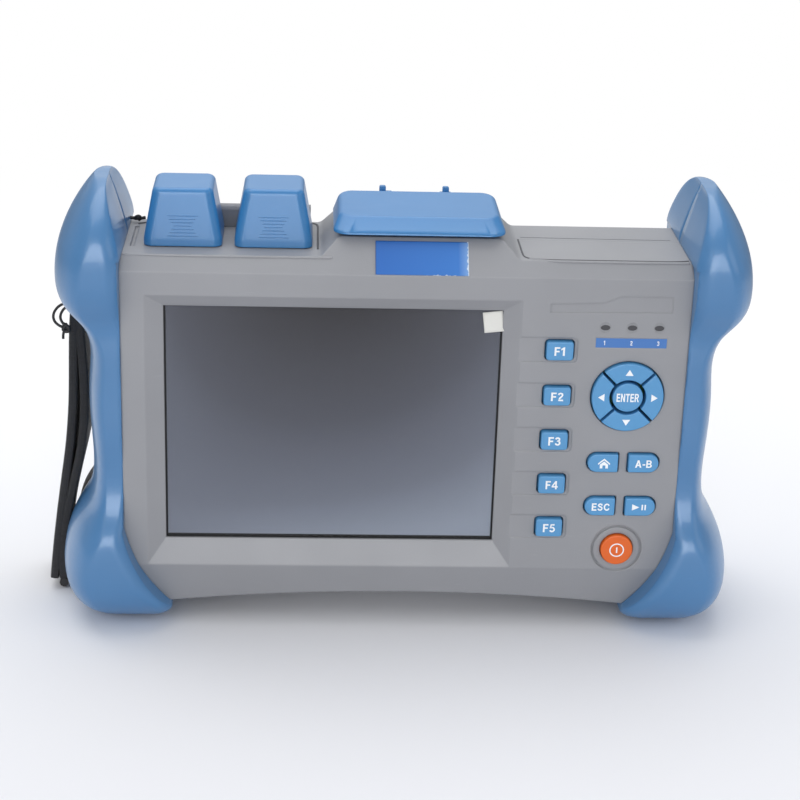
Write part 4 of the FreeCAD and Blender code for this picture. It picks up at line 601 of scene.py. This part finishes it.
ROUNDED = {
    "2": (0.66, [(0.1, 0.72), (0.16, 0.86), (0.33, 0.91), (0.52, 0.85), (0.55, 0.7), (0.46, 0.54),
         (0.24, 0.33), (0.12, 0.1), (0.64, 0.09)]),
    "3": (0.66, [(0.09, 0.75), (0.18, 0.88), (0.34, 0.91), (0.51, 0.84), (0.53, 0.68), (0.42, 0.56),
         (0.3, 0.53), (0.42, 0.51), (0.56, 0.4), (0.56, 0.24), (0.46, 0.12), (0.32, 0.09), (0.17, 0.12),
         (0.08, 0.26)]),
    "5": (0.66, [(0.58, 0.91), (0.19, 0.91), (0.13, 0.5), (0.3, 0.58), (0.48, 0.53), (0.57, 0.38),
         (0.55, 0.22), (0.43, 0.1), (0.28, 0.09), (0.15, 0.13), (0.09, 0.24)]),
    "S": (0.72, [(0.62, 0.7), (0.56, 0.85), (0.37, 0.91), (0.19, 0.86), (0.13, 0.72), (0.23, 0.59),
         (0.48, 0.49), (0.62, 0.38), (0.6, 0.2), (0.46, 0.1), (0.33, 0.09), (0.16, 0.14), (0.09, 0.3)]),
    "C": (0.8, [(0.72, 0.68), (0.62, 0.85), (0.43, 0.91), (0.22, 0.83), (0.11, 0.62), (0.11, 0.38),
         (0.22, 0.17), (0.43, 0.09), (0.62, 0.15), (0.73, 0.33)]),
}
BOWLED = {
    "B": (0.76, [[(0, 0), (0.46, 0), (0.66, 0.06), (0.75, 0.18), (0.75, 0.34), (0.66, 0.47), (0.56, 0.52),
         (0.66, 0.59), (0.71, 0.7), (0.69, 0.86), (0.59, 0.96), (0.42, 1), (0, 1)], [(0.2, 0.17),
         (0.2, 0.43), (0.42, 0.43), (0.53, 0.38), (0.54, 0.24), (0.44, 0.17)], [(0.2, 0.6), (0.2, 0.83),
         (0.4, 0.83), (0.5, 0.78), (0.5, 0.66), (0.41, 0.6)]]),
    "R": (0.8, [[(0, 0), (0.21, 0), (0.21, 0.4), (0.34, 0.4), (0.56, 0), (0.8, 0), (0.55, 0.43),
         (0.7, 0.54), (0.74, 0.72), (0.7, 0.88), (0.59, 0.97), (0.44, 1), (0, 1)], [(0.21, 0.57),
         (0.21, 0.83), (0.42, 0.83), (0.52, 0.77), (0.52, 0.64), (0.42, 0.57)]]),
}
STROKE, GLYPH_GAP = 0.19, 0.13


def stroke_outline(route):
    """The closed outline of a stroke of even width along a route of points."""
    ahead_side, back_side = [], []
    for i, (x, y) in enumerate(route):
        ax, ay = route[max(i - 1, 0)]
        bx, by = route[min(i + 1, len(route) - 1)]
        long = math.hypot(bx - ax, by - ay)
        nx, ny = -(by - ay) / long * STROKE / 2, (bx - ax) / long * STROKE / 2
        ahead_side.append((x + nx, y + ny))
        back_side.append((x - nx, y - ny))
    return ahead_side + back_side[::-1]


SIGNS = {**GLYPHS, **BOWLED}
SIGNS |= {sign: (wide, [stroke_outline(route)]) for sign, (wide, route) in ROUNDED.items()}


def words(name, text, body, at, height, width):
    """A legend in plain capitals, centred on a place; height and width in millimetres."""
    full = sum(SIGNS[sign][0] for sign in text) + GLYPH_GAP * (len(text) - 1)
    stretch = width / full
    outlines, start = [], -width / 2
    for sign in text:
        wide, shapes = SIGNS[sign]
        outlines += [[(start + x * stretch, (y - 0.5) * height) for x, y in shape] for shape in shapes]
        start += (wide + GLYPH_GAP) * stretch
    return drawing(name, body, at, outlines)


def finish_print(obj, body, at, finish):
    """Gives a flat shape a little thickness and lays it on the face at a place."""
    shape = bmesh.new()
    shape.from_mesh(obj.data)
    for v in shape.verts:
        v.co.z = 0
    bmesh.ops.remove_doubles(shape, verts=shape.verts, dist=1e-7)
    faces = list(shape.faces)
    raised = bmesh.ops.extrude_face_region(shape, geom=faces)
    up = [v for v in raised["geom"] if isinstance(v, bmesh.types.BMVert)]
    bmesh.ops.translate(shape, verts=up, vec=(0, 0, PRINT_THICK * MM))
    bmesh.ops.recalc_face_normals(shape, faces=shape.faces)
    shape.to_mesh(obj.data)
    shape.free()
    stand_up(obj.data, *at)
    return place_piece(obj, body, finish)


def drawing(name, body, at, outlines, finish=PRINT):
    """A sign from closed outlines in millimetres; an outline inside another is a hole."""
    curve = bpy.data.curves.new(name, "CURVE")
    curve.dimensions, curve.fill_mode = "2D", "BOTH"
    for outline in outlines:
        line = curve.splines.new("POLY")
        line.points.add(len(outline) - 1)
        for point, (x, y) in zip(line.points, outline):
            point.co = (x * MM, y * MM, 0, 1)
        line.use_cyclic_u = True
    return finish_print(baked(bpy.data.objects.new(name, curve)), body, at, finish)


def ring(radius, count=40, middle_x=0.0, middle_y=0.0):
    return [(middle_x + radius * math.cos(2 * math.pi * n / count),
             middle_y + radius * math.sin(2 * math.pi * n / count)) for n in range(count)]


def bar(x, y, width, height):
    return [(x - width / 2, y - height / 2), (x + width / 2, y - height / 2),
            (x + width / 2, y + height / 2), (x - width / 2, y + height / 2)]


def on_key(node, dx=0.0, dz=0.0):
    """The middle of a key's face, moved by millimetres."""
    low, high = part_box(node)
    return ((low.x + high.x) / 2 + dx * MM, low.y, (low.z + high.z) / 2 + dz * MM)


def legends():
    for n in range(1, 6):
        words(f"legend_f{n}", f"F{n}", f"key_f{n}", on_key(f"key_f{n}"), 3.3, 4.5 if n > 1 else 4.0)
    words("legend_escape", "ESC", "key_escape", on_key("key_escape", 0.3), 3.0, 6.6)
    words("legend_ab", "A-B", "key_ab", on_key("key_ab"), 3.0, 6.2)
    words("legend_enter", "ENTER", "key_enter", on_key("key_enter"), 3.2, 8.2)
    drawing("legend_home", "key_home", on_key("key_home", 0.4),
            [[(-2.2, 0.1), (0, 2.0), (2.2, 0.1), (2.2, -0.55), (0, 1.3), (-2.2, -0.55)],
             [(-1.5, -0.4), (0, 0.85), (1.5, -0.4), (1.5, -1.9), (0.55, -1.9), (0.55, -0.7), (-0.55, -0.7),
              (-0.55, -1.9), (-1.5, -1.9)]])
    drawing("legend_run", "key_run", on_key("key_run", -0.4),
            [[(-2.6, 1.25), (0.1, 0), (-2.6, -1.25)], bar(1.2, 0, 0.55, 2.2), bar(2.3, 0, 0.55, 2.2)])
    pad = middle("key_enter")
    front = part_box("key_up")[0].y
    arrow, away = [(0, 1.15), (-1.45, -1.15), (1.45, -1.15)], 9.7 * MM
    for quarter, key in enumerate(ARROW_KEYS):
        turn = -quarter * math.pi / 2
        outline = [(x * math.cos(turn) - y * math.sin(turn), x * math.sin(turn) + y * math.cos(turn))
                   for x, y in arrow]
        at = (pad.x - away * math.sin(turn), front, pad.z + away * math.cos(turn))
        drawing(f"arrow_{key[4:]}", key, at, [outline])
    drawing("legend_power", "power_button", on_key("power_button"),
            [ring(2.75), ring(2.3), bar(0, 0.0, 0.5, 2.3)])
    for number, at in lamp_places("indicator_strip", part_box("indicator_strip")[0].y):
        words(f"strip_number_{number}", str(number), "case", at, 1.7, 0.9 if number > 1 else 0.6)


# ---------------------------------------------------------------- repeated details

def painted_tree(net, given, result, many):
    """Ends a geometry tree: its instances are made real and take the given material."""
    real = net.add("GeometryNodeRealizeInstances", {"Geometry": many.outputs[0]})
    painted = net.add("GeometryNodeSetMaterial", {"Geometry": real.outputs[0], "Material": given["Material"]})
    net.feed(result.inputs[0], painted.outputs[0])
    return net.tree


def rows_tree():
    """Geometry: a column of fine rounded bars that narrow towards the middle row."""
    net, given, result = node_group(
        "Grip rows", "GeometryNodeTree",
        [("Geometry", "Geometry", None), ("Count", "Int", 8), ("Pitch", "Float", 0.001),
         ("Lean", "Float", 0.0001), ("Wide", "Float", 0.011), ("Waist", "Float", 0.6),
         ("Thick", "Float", 0.0003), ("Material", "Material", None)], [("Geometry", "Geometry")])
    step = net.add("ShaderNodeCombineXYZ", {"Y": given["Lean"], "Z": given["Pitch"]})
    line = net.add("GeometryNodeMeshLine", {"Count": given["Count"], "Offset": step.outputs[0]},
                   mode="OFFSET")
    centre = net.math("MULTIPLY", net.math("SUBTRACT", given["Count"], 1.0), 0.5)
    index = net.add("GeometryNodeInputIndex").outputs[0]
    away = net.math("DIVIDE", net.math("ABSOLUTE", net.math("SUBTRACT", index, centre)), centre)
    narrower = net.math("SUBTRACT", 1.0, given["Waist"])
    share = net.math("ADD", given["Waist"], net.math("MULTIPLY", narrower, away))
    length = net.math("MULTIPLY", share, given["Wide"])
    size = net.add("ShaderNodeCombineXYZ", {"X": length, "Y": given["Thick"], "Z": given["Thick"]})
    rod = net.add("GeometryNodeMeshUVSphere", {"Segments": 8, "Rings": 6, "Radius": 0.5})
    many = net.add("GeometryNodeInstanceOnPoints", {"Points": line.outputs[0], "Instance": rod.outputs[0],
                                                    "Scale": size.outputs[0]})
    return painted_tree(net, given, result, many)


def grown(name, tree, points=(), **values):
    """A plain mesh grown by a geometry tree, from points where it needs them, with the given inputs."""
    mesh = bpy.data.meshes.new(name)
    if points:
        mesh.from_pydata(points, [], [])
    obj = bpy.data.objects.new(name, mesh)
    bpy.context.scene.collection.objects.link(obj)
    modifier = obj.modifiers.new("Grow", "NODES")
    modifier.node_group = tree
    sockets = {item.name: item.identifier for item in tree.interface.items_tree if item.in_out == "INPUT"}
    for label, value in values.items():
        modifier[sockets[label]] = value
    return baked(obj)


def cap_rows():
    """Fine finger ribs on the front of each dust cap, following its lean."""
    tree = rows_tree()
    count, pitch, lean = 7, 1.2, 2.0 / 18.4
    wide, waist, thick = 11.5, 0.6, 0.34
    # The first row is this high, but set back only as far as the face is lower down, so the ribs stand proud.
    first_row, set_back_at = 3.7, 1.5
    for cap in ("otdr_cap", "vfl_cap"):
        low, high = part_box(cap)
        obj = grown(cap + "_ribs", tree, Count=count, Pitch=pitch * MM, Lean=lean * pitch * MM,
                    Wide=wide * MM, Waist=waist, Thick=thick * MM, Material=COVER)
        obj.data.transform(Matrix.Translation(((low.x + high.x) / 2, low.y + lean * set_back_at * MM,
                                               low.z + first_row * MM)))
        place_piece(obj, cap, COVER)


def cross_tree():
    """Geometry: a thin cross that stands for a screw's cross recess, on every given point."""
    net, given, result = node_group(
        "Screw recesses", "GeometryNodeTree",
        [("Geometry", "Geometry", None), ("Length", "Float", 0.003), ("Width", "Float", 0.0006),
         ("Thick", "Float", 0.0001), ("Material", "Material", None)], [("Geometry", "Geometry")])
    arms = []
    for long_axis in ("X", "Z"):
        other = "Z" if long_axis == "X" else "X"
        size = net.add("ShaderNodeCombineXYZ", {long_axis: given["Length"], other: given["Width"],
                                                "Y": given["Thick"]})
        arms.append(net.add("GeometryNodeMeshCube", {"Size": size.outputs[0]}).outputs[0])
    cross = net.add("GeometryNodeMeshBoolean", operation="UNION")
    for arm in arms:
        net.tree.links.new(arm, cross.inputs[1])
    many = net.add("GeometryNodeInstanceOnPoints", {"Points": given["Geometry"],
                                                    "Instance": cross.outputs[0]})
    return painted_tree(net, given, result, many)


def islands(node):
    """Boxes of the separate solids of a node, as (low, high)."""
    shell = bmesh.new()
    shell.from_mesh(nodes[node].data)
    bmesh.ops.remove_doubles(shell, verts=shell.verts, dist=1e-6)
    left, found = set(shell.verts), []
    while left:
        queue, seen = [left.pop()], []
        while queue:
            vert = queue.pop()
            seen.append(vert.co.copy())
            for edge in vert.link_edges:
                other = edge.other_vert(vert)
                if other in left:
                    left.remove(other)
                    queue.append(other)
        found.append((Vector(min(c[i] for c in seen) for i in range(3)),
                      Vector(max(c[i] for c in seen) for i in range(3))))
    shell.free()
    return sorted(found, key=lambda box: tuple(box[0]))


def screw_recesses():
    """A dark cross in the head of each screw: painted shade where its cross recess lies."""
    tree = cross_tree()
    width, thick = 0.6, 0.06
    for node, length in (("case_screws", 3.4), ("battery_cover_screws", 2.2)):
        heads = [((low.x + high.x) / 2, high.y, (low.z + high.z) / 2) for low, high in islands(node)]
        obj = grown(node + "_recesses", tree, heads, Length=length * MM, Width=width * MM, Thick=thick * MM,
                    Material=RECESS_SHADE)
        place_piece(obj, "case", RECESS_SHADE)


# ---------------------------------------------------------------- strap

def curved_line(name, places, order, steps):
    """A smooth curve led by places of the case's frame, in millimetres, from the first to the last."""
    curve = bpy.data.curves.new(name, "CURVE")
    curve.dimensions = "3D"
    line = curve.splines.new("NURBS")
    line.points.add(len(places) - 1)
    for point, place in zip(line.points, places):
        point.co = (*spot(*place), 1)
    line.order_u = order
    line.use_endpoint_u = True
    line.resolution_u = steps
    return curve


def strip_mesh(name, path, thick, y_front, width):
    """A flat strip of webbing whose middle line is a list of (x, z) in the case's frame, in millimetres."""
    curve = curved_line(name, [(x, y_front + width / 2, z) for x, z in path], 4, 10)
    route = baked(bpy.data.objects.new(name + "_route", curve))
    points = [v.co.copy() for v in route.data.vertices]
    bpy.data.objects.remove(route)
    side = Vector((0, 1, 0))
    half, lift = width * MM / 2, thick * MM / 2
    profile = [(-1, 0.0), (-0.97, 0.8), (-0.9, 1.0), (-0.45, 0.86), (0, 1.0), (0.45, 0.86), (0.9, 1.0),
               (0.97, 0.8), (1, 0.0), (0.97, -0.8), (0.9, -1.0), (0.45, -0.86), (0, -1.0), (-0.45, -0.86),
               (-0.9, -1.0), (-0.97, -0.8)]
    strip = bmesh.new()
    sheet_map = strip.loops.layers.uv.new("strip")
    rows, run, runs = [], 0.0, []
    for i, point in enumerate(points):
        if i:
            run += (point - points[i - 1]).length
        runs.append(run)
        ahead = (points[min(i + 1, len(points) - 1)] - points[max(i - 1, 0)]).normalized()
        out = ahead.cross(side).normalized()
        rows.append([strip.verts.new(point + side * u * half + out * v * lift) for u, v in profile])
    count = len(profile)
    for i in range(len(rows) - 1):
        for j in range(count):
            k = (j + 1) % count
            face = strip.faces.new((rows[i][j], rows[i][k], rows[i + 1][k], rows[i + 1][j]))
            for loop, (row, col) in zip(face.loops, ((i, j), (i, k), (i + 1, k), (i + 1, j))):
                loop[sheet_map].uv = (profile[col][0] / 2 + 0.5, runs[row] / (width * MM))
    strip.faces.new(rows[0])
    strip.faces.new(rows[-1][::-1])
    mesh = closed_mesh(strip, name, smooth=True)
    mesh.set_sharp_from_angle(angle=math.radians(50))
    return bpy.data.objects.new(name, mesh)


def strap():
    """Webbing in two layers, the inner one rolled at the bottom, and its anchor behind the bumper."""
    low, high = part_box("strap")
    left = (low.x - MID_X) / MM
    front, width = (low.y - FACE_Y) / MM, (high.y - low.y) / MM
    outer = [(left + 12.8, 113.5), (left + 12.2, 107), (left + 11.8, 95), (left + 11.4, 79),
             (left + 10.0, 63), (left + 8.7, 54), (left + 6.2, 38), (left + 3.3, 17), (left + 2.1, 4.4)]
    inner = [(left + 14.6, 112), (left + 14.4, 106), (left + 15.2, 96), (left + 15.8, 80), (left + 14.6, 62),
             (left + 11.8, 50), (left + 8.8, 38), (left + 5.6, 22), (left + 5.2, 10), (left + 5.6, 4.4)]
    roll = [(left + 5.8, y, 2.5) for y in (front + 0.3, front + width / 2, front + width - 0.3)]
    anchor = [(left + 20, 44), (left + 16.6, 40), (left + 12.8, 34), (left + 10.9, 27), (left + 10.2, 20),
              (left + 11.4, 13), (left + 15, 8)]
    thick, anchor_thick, roll_radius = 3.3, 2.6, 1.8
    pieces = [strip_mesh("strap_outer", outer, thick, front, width),
              strip_mesh("strap_inner", inner, thick, front, width),
              strip_mesh("strap_anchor", anchor, anchor_thick, front + 15, width - 13)]
    cord_piece("strap_roll", roll, roll_radius)
    for obj in pieces:
        place_piece(obj, "case", WEBBING)
    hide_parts("strap")


def cord_piece(name, route, radius, node=None, finish=CORD):
    """A thin cord or bead led by points of the case's frame, in millimetres."""
    curve = curved_line(name, route, 3, 12)
    curve.bevel_depth = radius * MM
    curve.bevel_resolution = 3
    curve.use_fill_caps = True
    obj = place_piece(baked(bpy.data.objects.new(name, curve)), "case", finish)
    for face in obj.data.polygons:
        face.use_smooth = True
    if node:
        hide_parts(node)
    return obj


def strap_cords():
    """The two strands of the strap's loop, their knot and its loose end."""
    cord_piece("strap_loop_outer", [(-121.5, 28.2, 117.4), (-125.2, 28.2, 117.8), (-129.2, 28.1, 113.2),
                                    (-127.8, 28.2, 108.6), (-123.6, 28.2, 107.4)], 0.5, "strap_loop")
    cord_piece("strap_loop_inner", [(-121.2, 28.0, 116.2), (-123.8, 28.0, 116.6), (-126.4, 28.0, 112.8),
                                    (-125.6, 28.1, 109.6), (-123.4, 28.0, 107.6)], 0.5)
    cord_piece("strap_knot", [(-125.2, 28.0, 109.4), (-123.2, 27.6, 108.6), (-122.9, 27.8, 106.8),
                              (-124.6, 28.0, 106.4), (-125.4, 27.6, 108.0), (-123.6, 27.6, 109.4)], 0.75)
    cord_piece("strap_tail", [(-124.6, 28.0, 107.4), (-125.4, 28.0, 105.6), (-125.3, 28.1, 103.6)], 0.5)


# ---------------------------------------------------------------- stage, light, camera

def open_rays(net, seen):
    """1 for the rays of the camera, of reflections and through clear film, else 0."""
    return net.math("MAXIMUM", net.math("MAXIMUM", seen["Is Camera Ray"], seen["Is Glossy Ray"]),
                    seen["Is Transmission Ray"])


def less_glossy(net, seen, aside, share):
    """Full strength, less a share of it for reflections that look aside."""
    dim = net.math("MULTIPLY", net.math("MULTIPLY", aside, share), seen["Is Glossy Ray"])
    return net.math("SUBTRACT", 1.0, dim)


def mix_shaders(net, factor, first, second, output):
    """Joins two shaders by a factor to an output node of the tree."""
    mix = net.add("ShaderNodeMixShader")
    for socket, value in zip(mix.inputs, (factor, first.outputs[0], second.outputs[0])):
        net.feed(socket, value)
    net.feed(net.tree.nodes[output].inputs["Surface"], mix.outputs[0])


def stage():
    """A pale floor that keeps the object's shadow and fades to white behind it and far out, and the world."""
    mesh = bpy.data.meshes.new("floor")
    mesh.from_pydata([(-6, -6, 0), (6, -6, 0), (6, 6, 0), (-6, 6, 0)], [], [(0, 1, 2, 3)])
    floor = bpy.data.objects.new("floor", mesh)
    bpy.context.scene.collection.objects.link(floor)
    made = bpy.data.materials.new("Pale paper")
    made.use_nodes = True
    net = Net(made.node_tree)
    made.node_tree.nodes.remove(made.node_tree.nodes["Principled BSDF"])
    place = net.add("ShaderNodeTexCoord").outputs["Object"]
    parts = net.add("ShaderNodeSeparateXYZ", {"Vector": place}).outputs
    back = parts["Y"]
    fade = net.add("ShaderNodeValToRGB", {"Fac": net.remap(back, -0.4, 0.8)})
    fade.color_ramp.elements[0].color = rgb(226, 226, 230)
    fade.color_ramp.elements[1].color = rgb(255, 255, 255)
    paper = net.add("ShaderNodeBsdfDiffuse", {"Color": fade.outputs["Color"]})
    seen = net.add("ShaderNodeLightPath").outputs
    aside = net.remap(net.math("ABSOLUTE", parts["X"]), 0.12, 0.35)
    strength = less_glossy(net, seen, aside, 0.8)
    white = net.add("ShaderNodeEmission", {"Color": (1, 1, 1, 1), "Strength": strength})
    shown = open_rays(net, seen)
    far = net.add("ShaderNodeMapRange", {"Value": back, "From Min": 0.02, "From Max": 0.62},
                  interpolation_type="SMOOTHSTEP").outputs["Result"]
    reach = net.add("ShaderNodeVectorMath", {"Vector": place}, operation="LENGTH").outputs["Value"]
    far = net.math("MAXIMUM", far, net.remap(reach, 0.6, 1.3))
    mix_shaders(net, net.math("MULTIPLY", shown, far), paper, white, "Material Output")
    mesh.materials.append(made)

    world = bpy.data.worlds.new("Studio")
    bpy.context.scene.world = world
    world.use_nodes = True
    net = Net(world.node_tree)
    dim = world.node_tree.nodes["Background"]
    dim.inputs["Color"].default_value = (0.95, 0.97, 1.0, 1)
    dim.inputs["Strength"].default_value = 0.66
    sky = net.add("ShaderNodeTexCoord").outputs["Generated"]
    toward = net.add("ShaderNodeSeparateXYZ", {"Vector": sky}).outputs
    seen = net.add("ShaderNodeLightPath").outputs
    aside = net.math("MAXIMUM", net.remap(net.math("ABSOLUTE", toward["X"]), 0.12, 0.5),
                     net.remap(toward["Y"], 0.1, -0.5))
    strength = less_glossy(net, seen, aside, 0.7)
    bright = net.add("ShaderNodeBackground", {"Color": (1, 1, 1, 1), "Strength": strength})
    mix_shaders(net, open_rays(net, seen), dim, bright, "World Output")


def softbox(name, place, target, width, height, power):
    data = bpy.data.lights.new(name, "AREA")
    data.shape = "RECTANGLE"
    data.size, data.size_y, data.energy = width, height, power
    lamp = bpy.data.objects.new(name, data)
    lamp.location = place
    lamp.rotation_mode = "QUATERNION"
    lamp.rotation_quaternion = (Vector(target) - Vector(place)).to_track_quat("-Z", "Y")
    bpy.context.scene.collection.objects.link(lamp)
    return lamp


def lights():
    softbox("Overhead", (-0.15, 0.4, 1.3), (0, 0, 0.1), 1.6, 1.2, 11.0)
    softbox("Front window", (-0.12, -1.9, 0.62), (0, 0, 0.1), 0.8, 1.3, 7.5).visible_glossy = False
    softbox("Window card", (-0.12, -1.9, 0.6), (0, 0, 0.1), 1.7, 1.5, 36.0).visible_diffuse = False
    softbox("Front left", (-1.0, -1.0, 1.0), (0, 0, 0.08), 0.8, 0.8, 1.8)
    softbox("Right fill", (1.5, -0.5, 0.7), (0, 0, 0.05), 1.0, 1.0, 3.0)


def camera():
    """Stands a little left of the middle and looks down on the front."""
    down, turn, roll = 0.3752, 0.0525, 0.0323
    ahead = Vector((math.sin(turn) * math.cos(down), math.cos(turn) * math.cos(down), -math.sin(down)))
    right = Vector((math.cos(turn), -math.sin(turn), 0))
    up = right.cross(ahead)
    rolled_right = right * math.cos(roll) + up * math.sin(roll)
    rolled_up = up * math.cos(roll) - right * math.sin(roll)
    data = bpy.data.cameras.new("Camera")
    data.sensor_width, data.lens = 36.0, 90.04
    data.clip_start, data.clip_end = 0.01, 50
    obj = bpy.data.objects.new("Camera", data)
    turned = Matrix((rolled_right, rolled_up, -ahead)).transposed().to_4x4()
    obj.matrix_world = Matrix.Translation(spot(-36.9, -671.8, 357.0)) @ turned
    bpy.context.scene.collection.objects.link(obj)
    bpy.context.scene.camera = obj


stage()
lights()
camera()
bpy.context.scene.view_settings.view_transform = "Standard"
dress_nodes()
legends()
lamp_bezels()
cap_rows()
screw_recesses()
cover_knuckles()
top_lines()
tab_sheet()
strap()
strap_cords()
tie_cord()
